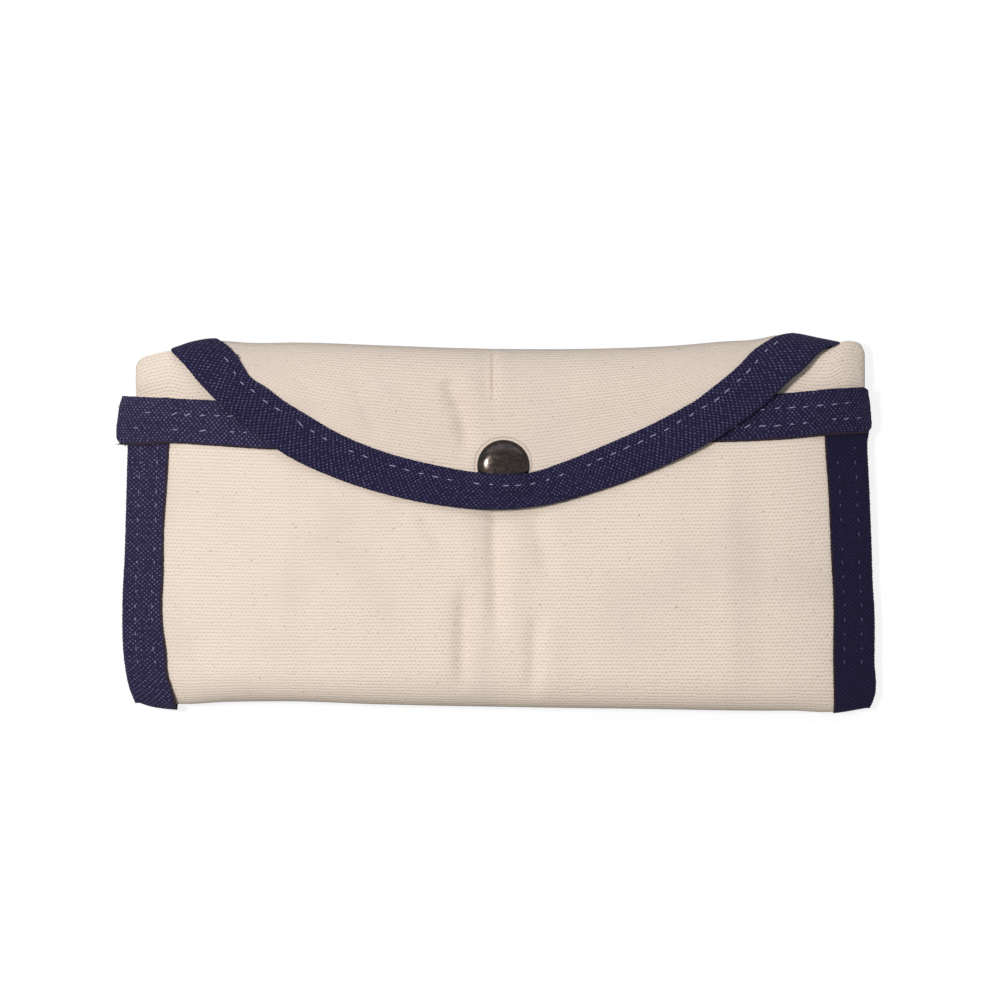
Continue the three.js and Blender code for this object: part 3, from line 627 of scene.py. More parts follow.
def makePouchCloth():
    columns = 261
    shares = closerMiddle(-1, 1, columns, 0.2)
    hem, foldY, clothHalf = pouch["hem"], pouch["bottomFoldY"], pouch["clothHalf"]
    rows = []
    for part in np.linspace(0, 1, 96):
        x = shares * 100
        for _ in range(3):  # the mouth's y and the width there depend on each other
            y = lerp(rimEdge(x) - hem, foldY, part)
            x = shares * (halfWidth(shares, y) - hem)
        rows.append(together(x, y, pouchLevel(x, y, 1)))
    for angle in np.linspace(0, math.pi, 36)[1:-1]:
        y = lerp(foldY, bottomEdge(shares * clothHalf), abs(math.sin(angle)))
        rows.append(bottomTurn(shares * (halfWidth(shares, y) - hem), angle))
    for y in np.linspace(foldY, pouch["backMouthY"], 40):
        x = shares * (halfWidth(shares, y) - hem)
        rows.append(together(x, y, pouchLevel(x, y, -1)))
    for t in [3, 2.8, 2.6, 2.4, 2.2, 2.1, 2, 1.8, 1.6, 1.4, 1.2, 1, 0.85, 0.7, 0.55, 0.4, 0.25, 0.12, 0]:
        # further in under the tape, which turns over when it opens
        cut = hem + pouch["hemUnderTape"] * smoothstep(-t, -3, -2)
        edge = np.where(shares < 0, -backEdge(-1, t), backEdge(1, t))
        rows.append(backPoint(shares * (edge - cut), t))
    face = np.array(rows)
    gone = runningLength(face[:, columns // 2])
    cloth = clothSheet("pouchCloth", face, together(shares * clothHalf, gone[:, None]), canvas)
    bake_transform(cloth)
    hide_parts("pouch_panel")
    return gone[-1]


def makeFlapCloth(startV):
    # startV is the length of cloth that the pouch has used, so the weave runs on
    start, length, lap = flap["rollStart"], flap["rollLength"], flap["lap"]
    bridgeMiddle, rollEnd = length + flap["bridgeLength"] / 2, length * 0.7

    def cutEdge(x):
        slope = (flapOuterEdge(x + 0.1) - flapOuterEdge(x - 0.1)) / 0.2
        return flapOuterEdge(x) + flap["hem"] * np.hypot(1, slope)

    def unrolled(x):
        # place on the unrolled cloth of the cut edge at x
        low = cutEdge(x)
        past = (low - start) / (topEdge(x) - start)
        return np.where(past < 0, low - start, length * np.arcsin(np.clip(past, 0, 1)) * 2 / math.pi)

    room = [x for x in np.arange(-95, 102, 0.25) if unrolled(x) < rollEnd]
    left, right = room[0] + flap["sideRoom"], room[-1] - flap["sideRoom"]
    columns = 241
    middle = columns // 2
    shares = closerMiddle(0, 1, columns, 0.14)
    bridgeLeft, bridgeRight = flap["bridgeSides"]
    rows = []
    for v in np.linspace(bridgeMiddle + lap, length * 0.72, 17):
        spread = (v - rollEnd) / (bridgeMiddle - rollEnd)
        x = lerp(lerp(left, bridgeLeft, spread), lerp(right, bridgeRight, spread), shares)
        rows.append(flapPoint(x, v))
    x = lerp(left, right, shares)
    for part in np.linspace(0, 1, 80):
        rows.append(flapPoint(x, lerp(rollEnd, unrolled(x), part)))
    face = np.array(rows)
    gone = startV - lap + runningLength(face[:, middle])
    nearSnap = np.abs(face[:, middle, 1] - snapAt[1]).argmin()
    ringV = float(gone[nearSnap] + face[nearSnap, middle, 1] - snapAt[1])
    ring = {"middle": (snapAt[0], ringV), "radius": flap["ringRadius"]}
    # the flap's canvas is the darker, painted shade copy of the canvas
    shadedFlapCanvas = makeCanvas("duckCanvasFlapShaded", shadedFlapLook, ring)
    cloth = clothSheet("flapCloth", face, together(x, gone[:, None]), shadedFlapCanvas)
    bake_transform(cloth)
    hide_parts("flap_bridge", "flap_front")


makeFlapCloth(makePouchCloth())
print("pouch and flap canvas made")

tapes = {
    "gap": 0.15,
    "foldRadius": 0.9,
    "rimWidth": [(-112, 14.6), (-104, 14.2), (-94, 13.1), (-82, 13.3), (-64, 13.8), (-40, 13.6), (0, 13.5),
                 (112, 13.5)],
    "rimLeftEnd": [(0, -110.4), (2, -110.9), (6, -111.5), (11, -112.2), (13.4, -111.9), (14.2, -111.4),
                   (14.8, -110.2)],
    "rimRightEnd": [(0, 107.8), (0.6, 108.8), (2.4, 109.5), (8, 110.1), (12, 110.4), (13.2, 109.8),
                    (13.7, 108.6)],
    "sideInner": {
        "left": [(-56, 94), (-51.5, 94.4), (-48, 95.3), (-44.5, 96.3), (-37.4, 96.8), (-30.4, 97.8),
                 (-22.2, 98.1), (-16.4, 97.8), (-1.7, 97.6), (11.7, 96.7), (22.2, 96.1), (38, 95.6)],
        "right": [(-56, 99.3), (-51.5, 99.1), (-44, 98.8), (-19.3, 98.7), (-10.5, 98.2), (1.2, 97.7),
                  (10, 97.3), (22.2, 96.4), (38, 96)],
    },
    "sideDepth": [(-109.6, 10.5), (-106, 11.8), (-101, 12.6), (-96.9, 12.9), (94, 14), (99, 13.9),
                  (111, 12.4)],
    "flapWidth": 12,
    "rimMiddleWidth": 13.5,
    "rimReach": 109,
    "rimShut": (88, 94),
    "rimShutBottom": -0.5,
    "backWidth": 12,
    "innerLeg": 12,
    "rimEndLeg": 1.1,
    "rimEndRise": 0.85,
    "rimEndFrom": (90, 96),
    "sideSink": 0.85,
    "toothPitch": 1.1,
    "toothHeight": 0.07,
    "capRise": 1.95,
    "capReach": (4.5, 11.5),
    "thinning": 0.72,
    "thinFrom": (8, 15),
    "thinUnder": (2.5, 6),
    "sideTop": 37,
}
upperRows, bendRows, lowerRows = 9, 7, 5
foldRows = slice(upperRows, upperRows + bendRows)
tapeTop = tapes["gap"] + tapeThickness  # height of a tape's outer face over the canvas
tapeBottom = -canvasThickness - tapeTop


def wrapSection(width, innerLegs, top, bottom):
    # rows of (inset, lift, share of the upper side) for a tape folded over an edge; outer and inner faces
    turn = np.linspace(math.pi / 2, -math.pi / 2, bendRows + 2)[1:-1]
    radius = tapes["foldRadius"]
    faces = []
    for inward in (0, tapeThickness):
        high, low = top - inward, bottom + inward
        middle, half = (high + low) / 2, max((high - low) / 2, 0.02)
        upper = [(d, high, 1) for d in np.linspace(width, radius, upperRows)]
        bend = [(radius - (radius - inward) * math.cos(b), middle + half * math.sin(b), (1 + math.sin(b)) / 2)
                for b in turn]
        lower = [(d, low, 0) for d in np.linspace(radius, innerLegs, lowerRows)]
        faces.append(np.array(upper + bend + lower))
    return faces


def toothed(faces, fold):
    # the fine teeth that the weave gives the tape's edge and its fold
    middle = faces[0][:, upperRows // 2]
    gone = runningLength(middle)
    tooth = np.abs((gone / tapes["toothPitch"]) % 1 - 0.5) * 4 - 1 + 0.8 * ripples(gone, 0, 2, 5)
    way = unit(faces[0][:, 0] - middle) * tapes["toothHeight"] * tooth[:, None]
    for face in faces:
        face[:, 0] += way
        face[:, fold] -= way[:, None]
    return faces


def tapeUv(outer, width, innerLegs):
    # along the tape by its own length, across it by the length round its section
    section = wrapSection(width, innerLegs, tapeTop, tapeBottom)[0]
    gone = runningLength(outer[:, upperRows // 2])
    return together(gone[:, None], runningLength(section[:, :2]))


def flapBandEdges(count):
    start, length = flap["rollStart"], flap["rollLength"]

    def unrolled(points, tails):
        spots = []
        for x, y in points:
            past = (y - start) / (topEdge(x) - start)
            turned = length * math.asin(min(0.97, max(0, past))) * 2 / math.pi
            spots.append((x, turned if past > 0 else y - start))
        return alongCurve([*tails[0], *spots, *tails[1]], count)
    return unrolled(flap["outer"], flap["outerTails"]), unrolled(flap["inner"], flap["innerTails"])


def capRise(x, y):
    # the flap's tape rises where it crosses the cap
    return tapes["capRise"] * (1 - smoothstep(fromSnap(x, y), *tapes["capReach"]))


def flapBandSurface(count):
    outer, inner = flapBandEdges(count)
    width = np.linalg.norm(inner - outer, axis=1)

    def place(inset, lift, upper):
        # inset and lift: stations x points
        spot = outer[:, None] + (inner - outer)[:, None] * (inset / width[:, None])[..., None]
        x, v = spot[..., 0], spot[..., 1]
        base = flapPoint(x, v)
        rise = capRise(x, base[..., 1]) * upper * (v < 0)
        return base + facing(flapPoint, x, v) * (lift + rise)[..., None]
    return place, width


def makeFlapBand():
    count = 960
    place, width = flapBandSurface(count)
    # pressed flat where it rolls over the tote's end
    thin = smoothstep(flapBandEdges(count)[0][:, 1:], *tapes["thinFrom"])
    span = np.concatenate([np.linspace(1, 0, upperRows), np.zeros(bendRows), np.linspace(0, 1, lowerRows)])
    legs = np.ones(len(span), bool)
    legs[foldRows] = False
    leg = lerp(tapes["foldRadius"], width[:, None], span)
    faces = []
    for section in wrapSection(1, 1, tapeTop, tapeBottom):
        inset = np.where(legs, leg, section[:, 0])
        pressed = tapes["thinning"] * thin * (1 - smoothstep(inset, *tapes["thinUnder"]))
        lift = tapeTop - (tapeTop - section[:, 1]) * (1 - pressed)
        faces.append(place(inset, lift, section[:, 2] * np.ones((count, 1))))
    uv = tapeUv(faces[0], tapes["flapWidth"], tapes["innerLeg"])
    band = slab("flapBand", *toothed(faces, foldRows), uv, bindingTape)
    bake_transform(band)
    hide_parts("flap_binding_front", "flap_binding_bridge_left", "flap_binding_bridge_right")


def makeBackBand(side, name):
    stations = np.concatenate([np.linspace(0, 1, 16), np.linspace(1, 2, 9)[1:], np.linspace(2, 3, 10)[1:]])
    width = tapes["backWidth"]
    faces = []
    for section in wrapSection(width, width, tapeTop, tapeBottom):
        x = side * (np.abs(backEdge(side, stations))[:, None] - section[:, 0])
        t = stations[:, None] * np.ones_like(x)
        faces.append(backPoint(x, t) + facing(backPoint, x, t, 0.02) * section[:, 1][:, None])
    band = slab("flapBackBand." + name, *faces, tapeUv(faces[0], width, width), bindingTape)
    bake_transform(band)
    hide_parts("flap_binding_back_" + name)


def rimPoint(x, inset, lift):
    y = rimEdge(x) - inset
    raised = tapes["rimEndRise"] * smoothstep(np.abs(x), *tapes["rimEndFrom"])
    return together(x, y, frontFace(x, y) - dimple(x, y) + raised + lift)


rimBreadth = throughPoints(tapes["rimWidth"])


def makeRimBand():
    leftEnd, rightEnd = throughPoints(tapes["rimLeftEnd"]), throughPoints(tapes["rimRightEnd"])
    reach = tapes["rimReach"]
    rows = ([], [])
    for share in np.linspace(0, 1, 800):
        # past the pouch's sides the tape lies folded shut on the side tapes
        shut = float(smoothstep(abs(lerp(-reach, reach, share)), *tapes["rimShut"]))
        bottom = lerp(tapeBottom, tapes["rimShutBottom"], shut)
        innerLeg = lerp(tapes["innerLeg"], tapes["rimEndLeg"], shut)
        sections = wrapSection(rimBreadth(lerp(-reach - 1, reach, share)), innerLeg, tapeTop, bottom)
        for face, section in zip(rows, sections):
            x = lerp(leftEnd(section[:, 0]), rightEnd(section[:, 0]), share)
            face.append(rimPoint(x, section[:, 0], section[:, 1]))
    faces = toothed([np.array(face) for face in rows], foldRows)
    uv = tapeUv(faces[0], tapes["rimMiddleWidth"], tapes["innerLeg"])
    band = slab("rimBand", *faces, uv, rimTape, "pouch")
    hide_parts("rim_binding")


sideDepth = throughPoints(tapes["sideDepth"])
sideInner = {name: throughPoints(points) for name, points in tapes["sideInner"].items()}


def sideOutline(side, y):
    name = "left" if side < 0 else "right"
    edge = leftEdge(y) if side < 0 else rightEdge(y)
    return edge, sideInner[name](y)


def sidePoint(side, y, angle, share, face, outside):
    # share 0 at the outer edge, 1 at the inner edge; angle turns round the bottom fold
    edge, inner = sideOutline(side, y)
    depth = sideDepth(side * lerp(edge, inner, share))
    turned = y - (depth + outside - tapes["sideSink"]) * np.sin(angle)
    edge, inner = sideOutline(side, turned)
    x = side * lerp(edge, inner, share)
    front, back = frontFace(x, y), backFace(x, y)
    z = (front + back) / 2 + face * ((front - back) / 2 + outside) * np.cos(angle)
    return together(x, turned, z)


def makeSideBand(side, name):
    straight = [(y, 0) for y in np.linspace(tapes["sideTop"], pouch["bottomFoldY"], 300)]
    turned = [(pouch["bottomFoldY"], angle) for angle in np.linspace(0, math.pi / 2, 46)[1:]]
    count = upperRows
    turn = np.linspace(math.pi / 2, -math.pi / 2, count + 2)[1:-1]
    legs = np.linspace(1, 0.1, count)
    faces = []
    for inward in (0, tapeThickness):
        outside = tapeTop - inward
        rows = []
        for y, angle in straight + turned:
            upper = sidePoint(side, y, angle, legs, 1, outside)
            lower = sidePoint(side, y, angle, legs[::-1], -1, outside)
            high, low = upper[-1], lower[0]
            tip = sidePoint(side, y, angle, 0, 1, outside)[0] - side * inward
            bend = []
            for b in turn:
                x = lerp(high[0], tip, math.cos(b))
                share = (1 + math.sin(b)) / 2
                bend.append([x, lerp(low[1], high[1], share), lerp(low[2], high[2], share)])
            rows.append(np.concatenate([upper, np.array(bend), lower]))
        faces.append(np.array(rows))
    faces = toothed(faces, slice(count, 2 * count))
    gone = runningLength(faces[0][:, count // 2])
    # lengths across the tape, over its upper side, its fold and its lower side
    over = np.concatenate([np.linspace(*span, count) for span in ((0, 11), (11.5, 15.5), (16, 27))])
    # painted light on the left side tape, painted shade on the right one
    tape = litTape if side < 0 else shadedTape
    band = slab("sideBand." + name, *faces, together(gone[:, None], over), tape, "pouch")
    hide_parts("side_binding_" + name)


makeFlapBand()
makeRimBand()
for name, side in (("left", -1), ("right", 1)):
    makeBackBand(side, name)
    makeSideBand(side, name)
print("tapes made")

tote = {
    "wall": 1.4,
    "depth": 2.1,
    "foldDepth": 11.8,
    "ringGap": 0.38,
    "topEdge": [(-107, 47), (-104.7, 48.6), (-102, 49.6), (-99, 50.3), (-95.5, 50.9), (-92, 50), (-85, 50.4),
                (-60, 50.9), (-20, 50), (20, 49.6), (40, 49.9), (60, 51), (85, 52.4), (95, 51.4), (98, 51.6),
                (100.5, 53.2), (105.3, 53.7), (107, 53.1), (108.5, 51.6)],
    "earHalf": {"left": 106.2, "right": 108.5},
    "cornerRadius": 1.8,
    "endDepth": 7,
    "endShare": 0.8,
    "earRise": 0.6,
    "earX": 103,
    "earBeyond": {"x": (88, 98), "y": (37, 47)},
    "earWidens": (28, 35),
    "bodyInset": 10.5,
    "unevenness": (0.18, 17, 4),  # height, length and seed of its waves, which show above the mouth
    "unevenAbove": (38, 42),
    "bluntness": (10, 0.4),
    "tapeWidth": 12,
    "gapMiddle": -2,
    "gapHalf": 3,
    "tapeRoom": 0.85,
    "handleWidth": 25,
    "handleBend": 8,
}
toteTop = throughPoints(tote["topEdge"])
toteReach = tote["foldDepth"] - tote["depth"]
toteBottom = pouch["bottomFoldY"] - tote["endShare"] * toteReach


def toteLevel(x, y, face, inset, reach=None):
    # height of a layer on the tote's front (1) or back (-1), rounded at its ends and, with a reach, its sides
    front, back = frontFace(x, y) - dimple(x, y), backFace(x, y)
    upper = (y - toteTop(x) + tote["endDepth"]) / tote["endDepth"]
    lower = (pouch["bottomFoldY"] - y) / toteReach
    end = np.sqrt(1 - (tote["endShare"] * np.clip(np.where(y > 0, upper, lower), 0, 1)) ** 2)
    squareness, roundness = tote["bluntness"]
    blunt = 1 if reach is None else (1 - np.minimum(1, np.abs(x) / reach) ** squareness) ** roundness
    room = (front - back) / 2 - tote["depth"]
    half = room * (1 - inset / (pouch["thickness"] / 2 - tote["depth"]))
    ear = smoothstep(np.abs(x), *tote["earBeyond"]["x"]) * smoothstep(y, *tote["earBeyond"]["y"])
    height, length, seed = tote["unevenness"]
    soft = height * ripples(x, y, length, seed) * smoothstep(y, *tote["unevenAbove"]) * face
    return (front + back) / 2 + tote["earRise"] * ear + face * half * end * blunt + soft


def toteHalf(side, y):
    # the tote's half width: inside the side tapes below the mouth, wider at the corners that show above it
    name = "left" if side < 0 else "right"
    edge = halfWidth(side, min(y, 30))
    ear = float(smoothstep(y, *tote["earWidens"]))
    body = lerp(edge - tote["bodyInset"], tote["earHalf"][name], ear)
    radius = tote["cornerRadius"]
    end = y - toteTop(side * tote["earX"]) if y > 0 else toteBottom - y
    past = min(max(end + radius, 0), radius)
    return body - radius + math.sqrt(radius ** 2 - 0.98 * past ** 2)


def makeToteCloth(name, outset, innerset, pinchOut, pinchIn):
    # one panel folded into a flat ring, open at its front middle; drawn thin there under the side tapes
    # its points lie closer together towards the sides and the upper end, which are rounded
    edge = tote["gapHalf"] + tote["tapeRoom"]
    rise = np.linspace(0, 1, 60)
    shares = np.concatenate([np.linspace(0, 0.9, 60), 1 - 0.1 * (1 - np.linspace(0, 1, 14)[1:]) ** 1.6])
    below = np.concatenate([-1 + 0.08 * np.linspace(0, 1, 10) ** 1.6, np.linspace(-0.92, 0.92, 60)[1:-1],
                            1 - 0.08 * np.linspace(1, 0, 10) ** 1.6])
    loops = [[], []]
    for part in np.concatenate([rise * 0.94, 1 - 0.06 * (1 - rise[::5][1:]) ** 2]):
        for loop, inset, pinched in ((loops[0], outset, pinchOut), (loops[1], innerset, pinchIn)):
            def spot(x, face, side, reach):
                y = lerp(toteBottom, toteTop(x), part)
                near = np.abs(x - tote["gapMiddle"]) - tote["gapHalf"] - tote["tapeWidth"]
                pinch = tote["tapeRoom"] * pinched * (1 - smoothstep(near, 2, 8)) * (face > 0)
                return together(x, y, toteLevel(x, y, face, inset + pinch, reach))
            nominal = {side: lerp(toteBottom, float(toteTop(side * tote["earX"])), part) for side in (-1, 1)}
            reach = {side: toteHalf(side, nominal[side]) - inset for side in (-1, 1)}
            right = spot(lerp(tote["gapMiddle"] + edge, reach[1], shares), 1, 1, reach[1])
            left = spot(lerp(tote["gapMiddle"] - edge, -reach[-1], shares), 1, -1, reach[-1])
            x = np.where(below < 0, below * reach[-1], below * reach[1])
            under = spot(x, -1, 1, np.where(below < 0, reach[-1], reach[1]))
            loop.append(np.concatenate([right, under[::-1][1:-1], left[::-1]]))
    outer, inner = np.array(loops[0]), np.array(loops[1])
    uv = together(runningLength(outer[30]), runningLength(outer[:, 30])[:, None])
    cloth = slab(name, outer, inner, uv, canvas, "pouch")
    return cloth


def makeToteSideTape(side, name):
    edge = tote["gapMiddle"] + side * tote["gapHalf"]
    innerset = 2 * tote["wall"] + tote["ringGap"]
    count, radius = 7, tapes["foldRadius"]
    turn = np.linspace(math.pi / 2, -math.pi / 2, count + 2)[1:-1]
    legs = np.linspace(tote["tapeWidth"], radius, count)
    y = lerp(toteBottom, float(toteTop(tote["gapMiddle"])), np.linspace(0, 1, 70))[:, None]
    faces = []
    for inward in (0, tapeThickness):
        half = innerset / 2 - inward
        away = np.concatenate([legs, radius - (radius - inward) * np.cos(turn), legs[::-1]])
        bend = innerset / 2 - half * np.sin(turn)
        inset = np.concatenate([[inward] * count, bend, [innerset - inward] * count])
        x = edge + side * away
        faces.append(together(x, y, toteLevel(x, y, 1, inset)))
    over = np.concatenate([np.linspace(*span, count) for span in ((0, 11), (11.5, 15), (15.5, 26))])
    uv = together(runningLength(faces[0][:, count // 2])[:, None], over)
    tapePiece = slab("toteSideTape." + name, *faces, uv, bindingTape, "pouch")
    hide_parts("tote_side_binding_" + name)


def flatStrip(name, path, width, low, high, material, node):
    # flat strip of webbing or tape along a path of (x, y), its long edges rounded
    path = np.array(path)
    way = unit(np.gradient(path, axis=0))
    aside = np.stack([-way[:, 1], way[:, 0]], axis=1)
    half, radius = width / 2, (high - low) / 2
    turn = np.linspace(0, math.pi / 2, 5)
    edge = half - radius * (1 - np.cos(turn[::-1]))
    offsets = np.concatenate([-edge[::-1], np.linspace(-half + radius, half - radius, 8)[1:-1], edge])
    bulge = np.concatenate([np.sin(turn), np.ones(6), np.sin(turn[::-1])]) * radius
    spots = path[:, None] + aside[:, None] * offsets[:, None]
    faces = [together(spots[..., 0], spots[..., 1], (low + high) / 2 + sign * np.maximum(bulge, 0.02))
             for sign in (1, -1)]
    strip = slab(name, *faces, together(runningLength(path)[:, None], offsets + half), material, "pouch")
    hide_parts(node)


def makeHandle(name):
    low, high = (np.array(corner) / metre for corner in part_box("handle_" + name))
    width = tote["handleWidth"]
    bend = width / 2 + tote["handleBend"]  # radius of the strap's middle line
    middle, half = (low[0] + high[0]) / 2, (high[0] - low[0] - width) / 2
    bottom, top = low[1] + width / 2, high[1]
    turn = np.linspace(0, math.pi / 2, 14)
    leg = [(half, y) for y in np.linspace(top, bottom + bend, 20)[:-1]]
    leg += [(half - bend * (1 - math.cos(a)), bottom + bend * (1 - math.sin(a))) for a in turn]
    across = [(x, bottom) for x in np.linspace(bend - half, half - bend, 30)[1:-1]]
    path = [(middle - x, y) for x, y in leg] + [(middle + x, y) for x, y in across + leg[::-1]]
    flatStrip("handle." + name, path, width, low[2], high[2], webbing, "handle_" + name)


def makeToteRimTape(name):
    node = "tote_rim_binding_" + name
    low, high = (np.array(corner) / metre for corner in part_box(node))
    path = [(x, (low[1] + high[1]) / 2) for x in np.linspace(low[0], high[0], 60)]
    width = high[1] - low[1]
    flatStrip("toteRimTape." + name, path, width, low[2], high[2], bindingTape, node)


outerTote = makeToteCloth("toteBackCloth", 0, tote["wall"], 1, 0)
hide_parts("tote_back_panel")
innerset = tote["wall"] + tote["ringGap"]
innerTote = makeToteCloth("toteFrontCloth", innerset, innerset + tote["wall"], 0, -1)
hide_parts("tote_front_panel")
for name, side in (("left", -1), ("right", 1)):
    makeToteSideTape(side, name)
for name in ("front", "back"):
    makeHandle(name)
    makeToteRimTape(name)
print("packed tote made")

snap = {
    "cap": [(0, 1.75), (1.4, 1.74), (2.8, 1.69), (4, 1.6), (5, 1.47), (5.8, 1.3), (6.5, 1.07), (7.05, 0.8),
            (7.4, 0.52), (7.58, 0.28), (7.6, 0.14), (7.5, 0.03), (7.3, 0), (6.9, 0), (1.3, 0), (1.3, -1.95),
            (1.85, -2), (2, -2.15), (1.85, -2.32), (1.2, -2.4), (0, -2.42)],
    "socket": [(1.55, 0), (5.5, 0), (5.95, -0.14), (6.2, -0.5), (6.2, -2.1), (6.1, -2.38), (5.85, -2.5),
               (4.2, -2.5), (3.88, -2.38), (3.75, -2.15), (4.65, -2.12), (4.65, -1.36), (3.75, -1.33),
               (3.75, -0.6), (1.55, -0.6)],
    "stud": [(1.55, 0), (5.4, 0), (5.65, 0.12), (5.7, 0.35), (5.55, 0.58), (3.5, 0.6), (3.1, 0.72),
             (2.95, 1.05), (3.1, 1.5), (3.2, 1.85), (3.05, 2.2), (2.7, 2.45), (2.4, 2.4), (2.35, 0.6),
             (1.55, 0.6)],
    "post": [(0, 1.5), (1.7, 1.48), (1.95, 1.35), (2, 1.15), (1.3, 1.08), (1.3, -1.05), (4.7, -1.05),
             (4.9, -1.2), (4.9, -1.7), (4.7, -1.85), (0.9, -1.85), (0.9, 0.85), (0, 0.88)],
    "capGap": 0.2,
    "socketGap": 0.25,
    "studGap": 0.2,
    "springRadius": 4.0,
    "springWire": 0.25,
    "springHeight": 15.25,
    "springOpening": 0.25,
}


def roundSnap(angle, radius, height):
    return together(snapAt[0] + np.cos(angle) * radius, snapAt[1] + np.sin(angle) * radius, height)


def turnedPiece(name, node, profile, base, material, body):
    # the profile (radius, height) turned round the snap's axis, from a base height
    segments = 72
    angles = np.arange(segments) * 2 * math.pi / segments
    profile = np.array(profile, float)
    if (profile[:, 0] * np.roll(profile[:, 1], -1) - np.roll(profile[:, 0], -1) * profile[:, 1]).sum() > 0:
        profile = profile[::-1]
    points = roundSnap(angles[:, None], profile[:, 0], base + profile[:, 1])
    total = segments * len(profile)
    faces = [tuple(corner % total for corner in face) for face in ringFaces(segments + 1, len(profile))]
    uv = together(angles[:, None] * 5, runningLength(profile))
    piece = makeMesh(name, points, facingOut(points, faces), uv, material, body, sharp=40)
    joinAxis(piece)
    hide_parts(node)


def joinAxis(piece):
    # the points on the axis become one, and the faces left flat there go
    shape = bmesh.new()
    shape.from_mesh(piece.data)
    bmesh.ops.remove_doubles(shape, verts=shape.verts, dist=1e-7)
    bmesh.ops.dissolve_degenerate(shape, dist=1e-7, edges=shape.edges)
    shape.to_mesh(piece.data)
    shape.free()


def makeSpring():
    opening, wire = snap["springOpening"], snap["springWire"]
    turns = np.linspace(opening, 2 * math.pi - opening, 60)[:, None]
    section = np.linspace(0, 2 * math.pi, 10, endpoint=False)
    radius = snap["springRadius"] + wire * np.cos(section)
    points = roundSnap(turns, radius, snap["springHeight"] + wire * np.sin(section))
    half = len(section) // 2
    uv = together(turns * snap["springRadius"], np.arange(half) * 0.15)
    spring = slab("snapSpring", points[:, :half], points[:, half:][:, ::-1], uv, nickel, "flap")
    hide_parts("snap_spring")


flapTop = float(flapFace(*snapAt))
flapUnder = flapTop - canvasThickness
panelTop = float(pouchLevel(*snapAt, 1))
capBase = flapTop + snap["capGap"]
socketBase = flapUnder - snap["socketGap"]
studBase = panelTop + snap["studGap"]
turnedPiece("snapCap", "snap_cap", snap["cap"], capBase, gunmetal, "flap")
turnedPiece("snapSocket", "snap_socket", snap["socket"], socketBase, nickel, "flap")
turnedPiece("snapStud", "snap_stud", snap["stud"], studBase, nickel, "pouch")
turnedPiece("snapPost", "snap_post", snap["post"], panelTop, nickel, "pouch")
makeSpring()
print("snap made")

stitching = {
    "pitch": 4.2,
    "shown": 2.0,
    "sideShown": 1.2,
    "thread": 0.16,
    "hidden": 0.1,
    "lean": (0.12, 0.16),  # the mean and the spread of its angle
    "length": (0.55, 0.65),  # the least share of what is shown, and what may be added to it
    "wander": 0.09,
    "lifted": 0.5,
    "seed": 7,
    "flapInset": 3.3,
    "rimInsets": {"upper": 4.4, "lower": 9.1},
    "sideInsets": {"Outer": 4.1, "Inner": 9.4},
}
fray = {
    "thread": 0.17,
    "length": (0.6, 0.8),  # the least, and what may be added to it
    "spread": 0.5,
    "curl": 0.9,
    "buried": 0.4,
}
stitchLifts = (tapeTop, tapeTop + stitching["lifted"])
chance = np.random.default_rng(stitching["seed"])


def closedTube(start, rings, around):
    # faces of a tube of rings whose points begin at start, with both its ends closed
    last = start + (rings - 1) * around
    ends = [tuple(start + k for k in reversed(range(around))), tuple(last + k for k in range(around))]
    return ringFaces(rings, around, start) + ends


def sewRow(name, spots, higher, body=None, thread=seamThread, shown=stitching["shown"]):
    # a row of short raised stitches along the points; higher is the same row lifted off the tape
    gone = runningLength(spots)
    ways, upward = unit(np.gradient(spots, axis=0)), unit(higher - spots)
    points, faces, uvs = [], [], []
    angles = np.linspace(0, 2 * math.pi, 6, endpoint=False)
    steps = np.linspace(-1, 1, 5)
    shortest, more = stitching["length"]
    for mark in np.arange(stitching["pitch"] / 2, gone[-1], stitching["pitch"]):
        k = int(np.searchsorted(gone, mark))
        if chance.random() < stitching["hidden"]:
            continue
        way, up = ways[k], upward[k]
        aside = np.cross(up, way)
        lean = chance.normal(*stitching["lean"])
        along = way * math.cos(lean) + aside * math.sin(lean)
        across = np.cross(up, along)
        length = shown * (shortest + more * chance.random())
        middle = spots[k] + aside * chance.normal(0, stitching["wander"])
        faces += closedTube(len(points), len(steps), len(angles))
        for t in steps:
            thick = stitching["thread"] * (1 - 0.55 * t * t)
            centre = middle + along * t * length / 2 + up * (0.1 - 0.16 * t * t)
            for angle in angles:
                points.append(centre + across * math.cos(angle) * thick + up * math.sin(angle) * thick * 0.8)
                uvs.append((mark + t, angle))
    row = makeMesh(name, np.array(points), faces, np.array(uvs), thread, body)
    return row


def sewFlap():
    count = 300
    place, width = flapBandSurface(count)
    inset = (width - stitching["flapInset"])[:, None]
    ones = np.ones((count, 1))
    spots, higher = (place(inset, lift * ones, ones)[:, 0] for lift in stitchLifts)
    rolled = flapBandEdges(count)[0][:, 1]
    # stitches only where the tape lies in front
    shown = slice(int(np.argmax(rolled < 9)), count - int(np.argmax(rolled[::-1] < 12)))
    row = sewRow("flapSeam", spots[shown], higher[shown])
    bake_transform(row)


def sewRim(inset, name):
    x = np.linspace(-108, 108, 400)
    wander = inset + 0.25 * ripples(x, x * 0, 60, inset)
    sewRow("rimSeam." + name, *(rimPoint(x, wander, lift) for lift in stitchLifts), "pouch")


